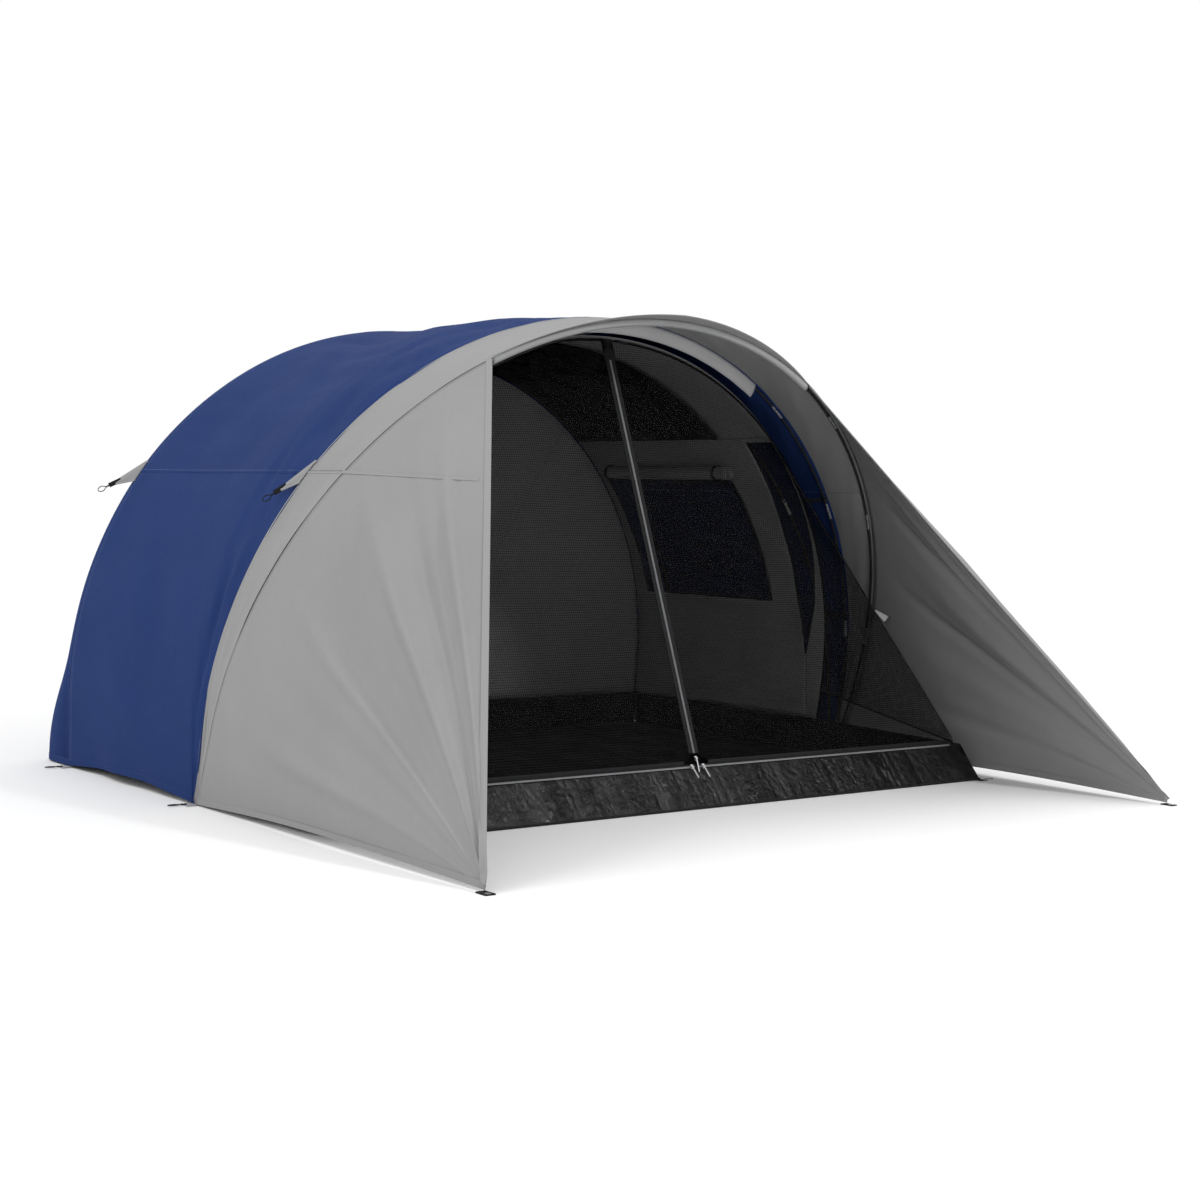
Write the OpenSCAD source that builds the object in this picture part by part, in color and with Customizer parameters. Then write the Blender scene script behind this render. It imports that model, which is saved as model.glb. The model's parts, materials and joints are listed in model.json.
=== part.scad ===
// Tunnel tent with a porch: four glass-fibre hoops, a two-colour fly sheet with two porch wings,
// an inner tent with mesh roof, mesh windows and a zipped mesh door, and a tub groundsheet.
// The door faces -Y and +Z is up. The origin is on the ground, at the centre of the outline.

/* [Hoops] */
// Radius of the round top of every hoop
hoop_r = 1370; // [1250:5:1450]
// Straight length of a hoop below its round top
hoop_leg = 205; // [180:5:230]
// Extra straight length of the front hoop
front_leg_extra = 50; // [40:5:60]
// Outer diameter of the glass-fibre tube
pole_d = 9.5; // [8:0.5:10]
// Length of the pole sections, from each foot
section_l = 500; // [450:10:520]
// Length of a metal ferrule
ferrule_l = 66; // [50:1:80]
// Forward lean of the rear hoop in degrees
rear_lean = -2; // [-3:0.5:0]
// Forward lean of the back centre hoop in degrees
back_lean = -3.2; // [-4:0.1:-2]
// Forward lean of the main hoop in degrees
main_lean = 9.5; // [9:0.5:11]
// Forward lean of the front hoop in degrees
front_lean = 19.5; // [18.5:0.5:21]
// Distance from the shared hoop feet back to the rear hoop's feet
rear_hoop_y = 925; // [900:5:940]

/* [Fly sheet] */
// Thickness of the fly sheet and its hems
fly_t = 2; // [1.5:0.5:2.5]
// Height of the sewn seam along the sides
seam_z = 1017; // [950:5:1080]
// How far the canopy reaches past the front hoop at its top
brim_l = 55; // [40:5:65]
// Half of the distance between the two wing tips
wing_tip_x = 1385; // [1370:5:1400]
// Distance from the shared hoop feet forward to a wing tip
wing_tip_y = 1530; // [1500:10:1560]
// How far the rear panel's foot stands behind the rear hoop
rear_depth = 275; // [270:5:290]

/* [Inner tent] */
// Radius of the inner tent's round top
inner_r = 1258; // [1250:1:1262]
// Height of the centre of that round top
inner_centre_z = 250; // [245:1:255]
// Height of the lower edge of the mesh roof
roof_mesh_z = 1200; // [1190:5:1210]
// Forward lean of the inner tent's front edge in degrees
inner_lean = 8.3; // [8:0.1:9]
// Thickness of the inner fabric and mesh
inner_t = 1.6; // [1.2:0.1:2]

/* [Groundsheet] */
// Half of the floor's width
floor_x = 1270; // [1265:1:1275]
// Distance from the hoop feet forward to the floor's front edge
floor_front = 830; // [820:5:840]
// Distance from the hoop feet back to the floor's rear edge
floor_rear = 1090; // [1085:1:1095]
// Height of the tub's side and rear walls
tub_h = 135; // [130:1:140]
// Height of the sill under the door
sill_h = 118; // [112:1:122]

/* [Door] */
// Half width of one zip's tape
zip_w = 6; // [5:0.5:7]
// Length of a zip pull
pull_l = 44; // [36:1:44]

/* [Hidden] */

$fn = 96;

// The parts are laid out from the shared hoop feet, then moved so that the origin is central
front_reach = wing_tip_y + 28;
rear_reach = rear_hoop_y + rear_depth + 5;
layout_y = (front_reach - rear_reach) / 2;

pole_r = pole_d / 2;
pole_bore_r = 2.6;
ferrule_r = pole_r + 0.9;
fit_gap = 0.1;
shock_r = 1.25;
pin_r = 2.5;
pin_from = 3;
pole_from = 30;
pin_to = 62;
// Feet of the three fanned hoops stand side by side on one strap
foot_pitch = 13;
front_leg = hoop_leg + front_leg_extra;

// Clear radius between a hoop's centre line and the fly sheet
fly_gap = 11;
sleeve_in = 8.2;
sleeve_out = 9.4;
sleeve_half = [55, 44, 29.5, 26];

// Angle from the top of the front hoop at which a wing's free edge leaves it
wing_angle = 29.5;
wing_tip_z = 26;

// Outline of the side window: front, rear, bottom, top
window_box = [200, 950, 585, 1050];
// Rear edge of the front band of the inner tent's roof
roof_mesh_front = 120;
// Forward lean of the inner tent's rear wall in degrees
rear_wall_lean = 6.2;

// The sill leans back from the floor's front edge
sill_back = 95;
sill_top_y = -floor_front + sill_back;
tub_t = 2;
floor_t = 3;
// Top point of the door, on the inner tent's front edge
door_top = [-210, 1505];
door_rise = door_top[1] - sill_h;
door_run = door_top[0] - sill_top_y;
door_tilt = atan2(door_rise, door_run);
door_len = norm([door_rise, door_run]);
door_half_w = 1240;

// ---------- helpers ----------

module place() {
    translate([0, layout_y, 0]) children();
}

// Point of a hoop's outline at the distance s from its top, positive to the right: [x, height]
function arch(s, r, leg) =
    let (q = r * PI / 2, a = abs(s) / r * 180 / PI)
    abs(s) <= q ? [sign(s) * r * sin(a), leg + r * cos(a)]
                : [sign(s) * r, leg - (abs(s) - q)];

function arch_len(r, leg) = r * PI / 2 + leg;

// The same point in the leaning plane of a hoop whose feet are at y0
function leaned(p, lean, y0 = 0) = [p[0], y0 - p[1] * sin(lean), p[1] * cos(lean)];

function flat(rows) = [for (row = rows) for (p = row) p];

function blend3(a, b, t) = a + (b - a) * t;

function unit(v) = v / norm(v);

// Thin closed solid on a grid of points, thickened along the grid's own normals
module sheet(rows, t) {
    m = len(rows);
    n = len(rows[0]);
    normals = [for (i = [0:m - 1]) [for (j = [0:n - 1])
        unit(cross(rows[i][min(j + 1, n - 1)] - rows[i][max(j - 1, 0)],
                   rows[min(i + 1, m - 1)][j] - rows[max(i - 1, 0)][j]))]];
    outer = [for (i = [0:m - 1]) [for (j = [0:n - 1]) rows[i][j] + normals[i][j] * t]];
    k = m * n;
    skin = [for (i = [0:m - 2]) for (j = [0:n - 2])
        let (a = i * n + j, b = a + 1, c = a + n + 1, d = a + n) each [[a, b, c], [a, c, d]]];
    rim = concat([for (j = [0:n - 1]) j], [for (i = [1:m - 1]) i * n + n - 1],
                 [for (j = [n - 2:-1:0]) (m - 1) * n + j], [for (i = [m - 2:-1:1]) i * n]);
    e = len(rim);
    polyhedron(
        points = concat(flat(rows), flat(outer)),
        faces = concat(
            skin,
            [for (f = skin) [f[2] + k, f[1] + k, f[0] + k]],
            [for (i = [0:e - 1]) let (a = rim[i], b = rim[(i + 1) % e]) each
                [[a, a + k, b + k], [a, b + k, b]]]),
        convexity = 6);
}

// The same grid, which then thickens to its other side
function turned(rows) = [for (row = rows) [for (i = [len(row) - 1:-1:0]) row[i]]];

// Turns the local x axis to the direction d
module aim(d) {
    rotate([0, -asin(d[2] / norm(d)), atan2(d[1], d[0])]) children();
}

module both_sides() {
    children();
    mirror([1, 0, 0]) children();
}

// ---------- hoops ----------

// Part of a hoop between two distances from its right foot, as a swept ring
module hoop_run(s0, s1, leg, r_out, r_in) {
    module ring() {
        difference() {
            circle(r_out, $fn = 32);
            if (r_in > 0) circle(r_in, $fn = 32);
        }
    }
    half = arch_len(hoop_r, leg);
    a0 = max(s0 - leg, 0) / hoop_r * 180 / PI;
    a1 = min(s1 - leg, hoop_r * PI) / hoop_r * 180 / PI;
    if (s0 < leg) translate([hoop_r, 0, s0]) linear_extrude(min(s1, leg) - s0) ring();
    translate([0, 0, leg]) rotate([90, 0, 0]) rotate([0, 0, a0])
        rotate_extrude(angle = a1 - a0, $fn = 192) translate([hoop_r, 0]) ring();
    if (s1 > 2 * half - leg)
        translate([-hoop_r, 0, 2 * half - s1])
            linear_extrude(leg - (2 * half - s1)) ring();
}

module hoop_plane(lean, y0) {
    translate([0, y0, 0]) rotate([lean, 0, 0]) children();
}

// Every hoop: forward lean, place of its feet, straight leg
hoops = [
    [rear_lean, rear_hoop_y, hoop_leg],
    [back_lean, foot_pitch, hoop_leg],
    [main_lean, 0, hoop_leg],
    [front_lean, -foot_pitch, front_leg]
];
joints_per_side = 4;

module in_hoop(i) {
    place() hoop_plane(hoops[i][0], hoops[i][1]) children();
}

module pole_sections(i) {
    leg = hoops[i][2];
    total = 2 * arch_len(hoop_r, leg);
    crown_from = joints_per_side * section_l;
    color("#17181a") in_hoop(i) {
        both_sides() for (k = [0:joints_per_side - 1])
            hoop_run(k == 0 ? pole_from : k * section_l + fit_gap, (k + 1) * section_l, leg,
                     pole_r, pole_bore_r);
        hoop_run(crown_from + fit_gap, total - crown_from - fit_gap, leg, pole_r, pole_bore_r);
    }
}

module rear_hoop() { pole_sections(0); }
module back_hoop() { pole_sections(1); }
module main_hoop() { pole_sections(2); }
module front_hoop() { pole_sections(3); }

module hoop_ferrules() {
    color("#b9bcc0") for (i = [0:3]) in_hoop(i) both_sides()
        for (k = [1:joints_per_side])
            hoop_run(k * section_l - ferrule_l / 2, k * section_l + ferrule_l / 2, hoops[i][2],
                     ferrule_r, pole_r + fit_gap);
}

module hoop_shock_cords() {
    color("#e8e8e6") for (i = [0:3]) in_hoop(i)
        hoop_run(pin_to + 2, 2 * arch_len(hoop_r, hoops[i][2]) - pin_to - 2, hoops[i][2],
                 shock_r, 0);
}

module hoop_foot_pins() {
    color("#c4c7ca") for (i = [0:3]) in_hoop(i) both_sides() translate([hoop_r, 0, pin_from])
        cylinder(r = pin_r, h = pin_to - pin_from, $fn = 32);
}

// Straps that hold each foot out from the floor's edge; they lie flat on the ground
module hoop_foot_webbing() {
    strap_t = 2;
    strap_w = 52;
    color("#8d8f93") place() both_sides() for (y = [0, rear_hoop_y])
        translate([floor_x + 1, y - strap_w / 2, 0])
            cube([hoop_r + 45 - floor_x, strap_w, strap_t]);
}

module sleeve(i, tint) {
    half = arch_len(hoop_r, hoops[i][2]);
    reach = sleeve_half[i] * PI / 180 * hoop_r;
    color(tint) in_hoop(i)
        hoop_run(half - reach, half + reach, hoops[i][2], sleeve_out, sleeve_in);
}

module rear_hoop_sleeve() { sleeve(0, "#2c3c66"); }
module back_hoop_sleeve() { sleeve(1, "#2c3c66"); }
module main_hoop_sleeve() { sleeve(2, "#9a9b9d"); }
module front_hoop_sleeve() { sleeve(3, "#8c8d90"); }

// ---------- fly sheet ----------

// Point of the fly sheet over hoop i, at the share u of the way from its top to a foot (-1 to 1)
function over_hoop(i, u, gap = fly_gap) =
    let (r = hoop_r + gap, leg = hoops[i][2])
    leaned(arch(u * (arch_len(r, leg) - hem_z), r, leg), hoops[i][0], hoops[i][1]);

// Lowest line of the fly above the ground
hem_z = 4;
// Gap between neighbouring fly panels
seam_gap = 3;
around = 48;

// A panel between two hoops, which sags by dip between them
function bay(i, j, rows, t0, t1, dip, u0 = -1, u1 = 1) =
    [for (a = [0:rows]) let (t = t0 + (t1 - t0) * a / rows)
        [for (b = [0:around]) let (
            u = u0 + (u1 - u0) * b / around,
            p = blend3(over_hoop(i, u), over_hoop(j, u), t),
            inward = [-p[0], 0, hoop_leg - p[2]])
            p + unit(inward) * dip * sin(180 * t) * (1 - pow(abs(u), 4))]];

rear_dip = 18;
front_dip = 3;

module fly_main_panel() {
    rear_len = rear_hoop_y - foot_pitch;
    color("#2f4069") place() {
        sheet(turned(bay(0, 1, 8, seam_gap / rear_len, 1, rear_dip)), fly_t);
        sheet(turned(bay(1, 2, 3, 0.02, 0.97, front_dip, -0.9, 0.9)), fly_t);
    }
}

// How far the rear panel bulges behind the top of the rear hoop
top_depth = 60;

// The rear panel is a set of nested arches whose depth follows a rounded rectangle
function rear_point(k, u) =
    let (
        p = over_hoop(0, u),
        z = p[2] * k,
        corner = 2.3 + 6 * exp(-pow(z / 220, 2)),
        depth = top_depth + (rear_depth - top_depth) * (1 - pow(z / 1600, 2)),
        y = rear_hoop_y - z * sin(rear_lean) + depth * pow(1 - pow(k, corner), 1 / corner))
    [p[0] * k, y, max(z, hem_z)];

module fly_rear_panel() {
    rings = [1, 0.995, 0.985, 0.97, 0.945, 0.91, 0.86, 0.79, 0.7, 0.58, 0.44, 0.28, 0.12, 0.02];
    color("#2f4069") place() translate([0, seam_gap, 0])
        sheet([for (k = rings) [for (b = [0:around]) rear_point(k, 2 * b / around - 1)]], fly_t);
}

// Forward reach of the brim, at the share u of the way down the front hoop
function brim_at(u) =
    let (edge = wing_angle * PI / 180 * hoop_r / arch_len(hoop_r, front_leg))
    brim_l * max(0, 1 - abs(u) / edge);

module porch_canopy() {
    rows = 5;
    reach = 0.93;
    gap_t = 0.02;
    front = [for (b = [0:around]) let (u = -reach + 2 * reach * b / around)
        over_hoop(3, u) + [0, -brim_at(u) - 1, brim_at(u) * 0.18]];
    gore = bay(2, 3, rows, gap_t, 0.96, 4, -reach, reach);
    color("#9b9c9f") place() sheet(turned(concat(gore, [front])), fly_t);
}

// A wing runs from the front hoop to a peg at its tip, in straight lines
module wing() {
    lanes = 24;
    steps = 10;
    total = arch_len(hoop_r + fly_gap, front_leg);
    u0 = wing_angle * PI / 180 * hoop_r / total;
    tip = [wing_tip_x, -wing_tip_y, wing_tip_z];
    color("#a3a4a7") place() sheet([for (b = [0:lanes]) let (
            u = u0 + (1 - u0) * b / lanes,
            root = over_hoop(3, u) + [0, -5, 0],
            end = tip + [0, 0, -18 * b / lanes])
        [for (a = [0:steps]) blend3(root, end, 0.985 * a / steps)]], fly_t);
}

module porch_wing_right() { wing(); }
module porch_wing_left() { mirror([1, 0, 0]) wing(); }

// Webbing tab at each wing tip, flat on the ground, with a round eyelet for a peg
eyelet_r = 5;
tip_tab = [30, 46, 3];

module wing_tip_tabs() {
    color("#141416") place() both_sides()
        translate([wing_tip_x - tip_tab[0] / 2 + 2, -wing_tip_y - tip_tab[1] + 18, 0])
            difference() {
                cube(tip_tab);
                translate([tip_tab[0] / 2, 13, -1]) cylinder(r = eyelet_r, h = 5, $fn = 48);
            }
}

// ---------- groundsheet ----------

module groundsheet_floor() {
    color("#101112") place()
        translate([-floor_x, -floor_front, 0])
            cube([2 * floor_x, floor_front + floor_rear, floor_t]);
}

module tub_side() {
    color("#131415") place() translate([floor_x - tub_t, 0, 0]) rotate([90, 0, 90])
        linear_extrude(tub_t)
            polygon([[-floor_front + 4, floor_t], [floor_rear, floor_t], [floor_rear, tub_h],
                     [0, tub_h], [sill_top_y + 4, sill_h], [sill_top_y + 3, sill_h - 1]]);
}

module tub_wall_right() { tub_side(); }
module tub_wall_left() { mirror([1, 0, 0]) tub_side(); }

module tub_wall_rear() {
    color("#131415") place()
        translate([-floor_x + tub_t + 0.5, floor_rear - tub_t, floor_t])
            cube([2 * (floor_x - tub_t - 0.5), tub_t, tub_h - floor_t]);
}

module front_sill() {
    color("#0c0d0e") place()
        translate([-floor_x + tub_t + 0.5, 0, 0]) rotate([90, 0, 90])
            linear_extrude(2 * (floor_x - tub_t - 0.5))
                polygon([[-floor_front, floor_t], [-floor_front + tub_t, floor_t],
                         [sill_top_y + tub_t, sill_h - 6], [sill_top_y, sill_h - 6]]);
}

// Peg tabs on the four corners of the floor
module floor_corner_tabs() {
    tab = [36, 24, 2];
    color("#151618") place() both_sides() {
        translate([floor_x - 20, -floor_front - tab[1], 0]) cube([tab[0], tab[1], tab[2]]);
        translate([floor_x - 20, floor_rear, 0]) cube([tab[0], tab[1], tab[2]]);
    }
}

// ---------- inner tent ----------

// Arch-shaped tube of fabric along Y, between two radii
module inner_tube(r_out, t) {
    far = 1400;
    translate([0, far, 0]) rotate([90, 0, 0]) linear_extrude(2 * far) difference() {
        union() {
            translate([0, inner_centre_z]) circle(r_out, $fn = 256);
            translate([-r_out, tub_h]) square([2 * r_out, inner_centre_z - tub_h]);
        }
        translate([0, inner_centre_z]) circle(r_out - t, $fn = 256);
        translate([-r_out + t, 0]) square([2 * (r_out - t), inner_centre_z]);
    }
}

// Space behind the leaning front edge and in front of the leaning rear wall
module inner_span(z0, z1, y0 = -1e3, y1 = 2e3) {
    big = 3000;
    intersection() {
        rotate([inner_lean, 0, 0]) translate([-big / 2, 0, -big / 2]) cube(big);
        translate([0, floor_rear, tub_h]) rotate([rear_wall_lean, 0, 0])
            translate([-big / 2, -big - 2, -big / 2]) cube(big);
        translate([-big / 2, y0, z0]) cube([big, y1 - y0, z1 - z0]);
    }
}

module window_cut(grow = 0) {
    translate([0, window_box[0] - grow, window_box[2] - grow])
        cube([1600, window_box[1] - window_box[0] + 2 * grow,
              window_box[3] - window_box[2] + 2 * grow]);
}

// Crescent window behind the front edge, cut to a point at its foot
module crescent_cut(shrink = 0) {
    rotate([90, 0, 90]) linear_extrude(1600) offset(delta = -shrink)
        polygon([[-22, 1188], [-158, 1188], [-128, 1000], [-98, 820], [-42, 600], [38, 385],
                 [52, 590], [38, 840], [5, 1050]]);
}

module inner_side() {
    color("#55565a") place() intersection() {
        difference() {
            inner_tube(inner_r, inner_t);
            window_cut();
            crescent_cut();
        }
        inner_span(tub_h + 0.5, roof_mesh_z);
        translate([0, -1000, 0]) cube([1600, 3000, 1600]);
    }
}

module inner_side_wall_right() { inner_side(); }
module inner_side_wall_left() { mirror([1, 0, 0]) inner_side(); }

module inner_front_band() {
    color("#55565a") place() intersection() {
        inner_tube(inner_r, inner_t);
        inner_span(roof_mesh_z + 0.5, 1600, -1000, roof_mesh_front);
    }
}

module inner_roof_mesh() {
    color("#141414") place() intersection() {
        inner_tube(inner_r, inner_t);
        inner_span(roof_mesh_z + 0.5, 1600, roof_mesh_front + 0.5);
    }
}

module window_mesh() {
    color("#1b1c20") place() intersection() {
        inner_tube(inner_r, inner_t);
        window_cut(-0.5);
        translate([600, 0, 0]) cube([1000, 1400, 1400]);
    }
}

module window_mesh_right() { window_mesh(); }
module window_mesh_left() { mirror([1, 0, 0]) window_mesh(); }

module crescent_mesh() {
    color("#1b1c20") place() intersection() {
        inner_tube(inner_r, inner_t);
        crescent_cut(0.5);
        translate([600, -1000, 0]) cube([1000, 2400, 1400]);
    }
}

module crescent_mesh_right() { crescent_mesh(); }
module crescent_mesh_left() { mirror([1, 0, 0]) crescent_mesh(); }

module inner_rear_wall() {
    color("#4c4d50") place()
        translate([0, floor_rear, tub_h + 0.5]) rotate([rear_wall_lean, 0, 0])
            translate([0, 0, -tub_h]) rotate([90, 0, 0]) linear_extrude(inner_t) {
                difference() {
                    union() {
                        translate([0, inner_centre_z]) circle(inner_r, $fn = 256);
                        translate([-inner_r, tub_h])
                            square([2 * inner_r, inner_centre_z - tub_h]);
                    }
                    translate([-2000, -2000 + tub_h + 0.5]) square([4000, 2000]);
                }
            }
}

// Front edge binding, a black piping on the inner tent's front arch
binding_r = 4;
binding_out = inner_r - inner_t / 2;

module inner_front_binding() {
    slant = cos(inner_lean);
    leg = inner_centre_z / slant;
    color("#0d0d0e") place() rotate([inner_lean, 0, 0]) translate([0, -binding_r - 0.5, 0]) {
        translate([0, 0, leg]) rotate([90, 0, 0])
            rotate_extrude(angle = 180, $fn = 192)
                translate([binding_out, 0]) circle(binding_r, $fn = 24);
        both_sides() translate([binding_out, 0, tub_h + 3])
            cylinder(r = binding_r, h = leg - tub_h - 3, $fn = 24);
    }
}

// Straps from the binding out to hooks on the main hoop, at two heights on each side
hook_heights = [545, 985];
hook_r = 8.5;

// Distance from a hoop's right foot at which it passes the height z
function hoop_s(z, leg, lean) =
    let (h = z / cos(lean)) leg + hoop_r * asin((h - leg) / hoop_r) * PI / 180;

function strap_from(z) =
    let (x = sqrt(pow(binding_out, 2) - pow(z - inner_centre_z, 2)))
    [x + 6, -z * tan(inner_lean) - 4, z];

function hoop_at(z) =
    let (h = z / cos(main_lean))
    [sqrt(pow(hoop_r, 2) - pow(h - hoop_leg, 2)), -z * tan(main_lean), z];

module inner_hook_straps() {
    color("#0d0d0e") place() both_sides() for (z = hook_heights) {
        a = strap_from(z);
        b = hoop_at(z) - [hook_r + 9, 0, 0];
        hull() {
            translate(a) cube([2, 1.6, 14], center = true);
            translate(b) cube([2, 1.6, 14], center = true);
        }
    }
}

module inner_hooks() {
    color("#1c1c1e") in_hoop(2) both_sides() for (z = hook_heights) {
        s = hoop_s(z, hoop_leg, main_lean);
        hoop_run(s - 8, s + 8, hoop_leg, hook_r, pole_r + 0.3);
    }
}

// Rolled window blinds, held up by two loops each
blind_r = 27;
blind_z = 1078;
blind_y = [140, 890];
loop_w = 14;

module at_blind() {
    reach = inner_r - inner_t - blind_r - 3;
    translate([sqrt(pow(reach, 2) - pow(blind_z - inner_centre_z, 2)), 0, blind_z])
        rotate([-90, 0, 0]) children();
}

module window_blinds() {
    color("#5b5c60") place() both_sides() at_blind()
        translate([0, 0, blind_y[0]]) cylinder(r = blind_r, h = blind_y[1] - blind_y[0]);
}

module blind_loops() {
    color("#0d0d0e") place() both_sides() at_blind()
        for (y = [blind_y[0] + 60, blind_y[1] - 40]) translate([0, 0, y]) difference() {
            cylinder(r = blind_r + 2, h = loop_w);
            translate([0, 0, -1]) cylinder(r = blind_r + 0.3, h = loop_w + 2);
        }
}

// ---------- front mesh and door ----------

// Point on the front edge of the inner tent, at the angle a from its top
function front_edge(a) =
    let (z = inner_centre_z + (inner_r - 8) * cos(a))
    [(inner_r - 8) * sin(a), -z * tan(inner_lean) - 10, z];

side_angle = 36;
sill_corner = [door_half_w, sill_top_y, sill_h + 6];

// Fan of mesh from a stretch of the front edge to the sill's corner
module mesh_fan(a0, a1, trim) {
    lanes = 10;
    steps = 8;
    color("#19191b") place() sheet([for (b = [0:lanes]) let (a = a0 + (a1 - a0) * b / lanes)
        [for (k = [0:steps]) blend3(front_edge(a), sill_corner, 0.97 * k / steps + trim)]], inner_t);
}

module front_mesh_right() { mesh_fan(2, side_angle, 0); }
module front_mesh_left() { mirror([1, 0, 0]) front_mesh_right(); }
module side_mesh_right() { mesh_fan(side_angle + 0.2, 90, 0); }
module side_mesh_left() { mirror([1, 0, 0]) side_mesh_right(); }

// Frame of the door's plane: x across, y up the slope, z out of the tent
module in_door() {
    place() translate([0, sill_top_y, sill_h]) rotate([door_tilt, 0, 0]) children();
}

leaf_gap = 10;
zip_foot = 45;

module leaf() {
    slope = door_half_w / door_len;
    top = door_len - leaf_gap - zip_w / slope;
    side = door_half_w - leaf_gap - 12;
    color("#1d1d1f") in_door() translate([0, 0, -inner_t / 2]) linear_extrude(inner_t)
        polygon([[zip_w, zip_foot], [zip_w + 42, 9], [side, 9], [zip_w, top - 40]]);
}

module door_leaf_right() { leaf(); }
module door_leaf_left() { mirror([1, 0, 0]) leaf(); }

// Half of the door zip: a coil on the edge of a tape
module zip_half() {
    color("#8e9094") in_door() translate([0.5, zip_foot, -1.4])
        cube([zip_w - 0.5, door_len - zip_foot - 75, 2.8]);
}

module door_zip_right() { zip_half(); }
module door_zip_left() { mirror([1, 0, 0]) zip_half(); }

module sill_zip() {
    color("#8e9094") in_door() both_sides()
        translate([12, -5, -1.4]) cube([door_half_w - 40, 10, 2.8]);
}

// Zip slider: a plate with a bridge for its pull
slider = [9, 15, 2.6];
slider_z = 2;
bridge_h = 4.5;
pull_pin_r = 1;

module slider_body() {
    color("#b4b6b9") {
        translate([-slider[0] / 2, -slider[1] / 2, slider_z]) cube(slider);
        for (x = [-4, 2.6]) translate([x, -3, slider_z + slider[2]]) difference() {
            cube([1.4, 6, bridge_h]);
            translate([-1, 3, 2.5]) rotate([0, 90, 0])
                cylinder(r = pull_pin_r + 0.05, h = 4, $fn = 24);
        }
    }
}

pull_z = slider_z + slider[2] + 2.5;

// Zip pull: a pin through the slider's bridge and a tab that hangs down, lifted by an angle
module pull_tab(lift = 0) {
    color("#a9abaf") translate([0, 0, pull_z]) rotate([-lift, 0, 0]) {
        translate([-3.8, 0, 0]) rotate([0, 90, 0]) cylinder(r = pull_pin_r, h = 7.6, $fn = 24);
        translate([-2.3, -pull_l, -0.8]) cube([4.6, pull_l - 0.5, 1.6]);
    }
}

door_slider_v = 26;
sill_slider_x = 24;
// A sill pull lies on the sill, which slopes less than the door
sill_pull_lift = 24;

module at_door_slider() { in_door() translate([0, door_slider_v, 0]) children(); }

// A sill slider runs along the sill, with its pull pointing down
module at_sill_slider(side) {
    in_door() translate([side * sill_slider_x, 0, 0]) children();
}

module door_slider() { at_door_slider() slider_body(); }
module door_pull() { at_door_slider() pull_tab(); }
module sill_slider_left() { at_sill_slider(-1) slider_body(); }
module sill_slider_right() { at_sill_slider(1) slider_body(); }
module sill_pull_left() { at_sill_slider(-1) pull_tab(sill_pull_lift); }
module sill_pull_right() { at_sill_slider(1) pull_tab(sill_pull_lift); }

// Tie-back tabs on the seams beside the door, each with a toggle bar
tieback_share = 0.59;

tieback_way = unit([0.62, -0.5, -0.6]);
// Out of the tent at the seam, clear of both meshes
tieback_off = [1.6, -3.6, 0.8];

module at_tieback() {
    p = blend3(front_edge(side_angle), sill_corner, tieback_share);
    place() translate(p + tieback_way * 6 + tieback_off) aim(tieback_way) children();
}

module tieback_tabs() {
    color("#77787b") both_sides() at_tieback()
        rotate([90, 0, 0]) linear_extrude(1.6, center = true)
            polygon([[2, -4], [2, 4], [47, 12], [47, -12]]);
}

module tieback_toggles() {
    color("#0c0c0d") both_sides() at_tieback() {
        translate([51.2, 0, 0]) cylinder(r = 4, h = 34, center = true, $fn = 32);
    }
}

// ---------- guy points and cord loops ----------

// Where each guy patch is sewn on and which way it is pulled: hoop index, direction
guy_points = [[0, [0.74, 0.5, -0.45]], [2, [0.62, 0.55, -0.56]]];
guy_l = 88;
web_l = 26;

function guy_root(i) =
    let (
        lean = hoops[i][0],
        h = seam_z / cos(lean),
        r = hoop_r + fly_gap + fly_t + 2)
    [sqrt(pow(r, 2) - pow(h - hoops[i][2], 2)), hoops[i][1] - seam_z * tan(lean), seam_z];

// Along hoop i at its patch, upward
function guy_rise(i) =
    let (p = guy_root(i), lean = hoops[i][0], h = seam_z / cos(lean))
    unit([(hoops[i][2] - h) / p[0], -sin(lean), cos(lean)]);

module guy_patches() {
    color("#a3a4a7") place() both_sides() for (g = guy_points) {
        p = guy_root(g[0]);
        rise = guy_rise(g[0]);
        end = p + unit(g[1]) * guy_l;
        sheet([[p + rise * 42, end + rise * 9], [p - rise * 42, end - rise * 9]], 1.6);
    }
}

module at_guys() {
    place() both_sides() for (g = guy_points)
        translate(guy_root(g[0])) aim(g[1]) rotate([90, 0, 0]) children();
}

module guy_webbing() {
    color("#141416") at_guys() translate([guy_l + 5, -8, -1.2]) cube([web_l, 16, 2.4]);
}

// Cord loops: a flat eye of cord in each guy tab and at each corner and foot
cord_r = 1.8;
eye_r = 17;

module eye() {
    translate([eye_r + cord_r, 0, 0])
        rotate_extrude($fn = 64) translate([eye_r, 0]) circle(cord_r, $fn = 16);
}

module cord_loops() {
    color("#0c0c0d") {
        at_guys() translate([guy_l + web_l + 6, 0, 0]) eye();
        place() both_sides() {
            for (y = [0, rear_hoop_y]) translate([hoop_r + 47, y, cord_r]) eye();
            translate([floor_x + 4, floor_rear + 30, cord_r]) rotate([0, 0, 60]) eye();
            translate([floor_x + 18, -floor_front - 12, cord_r]) eye();
        }
    }
}

// ---------- output ----------

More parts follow.
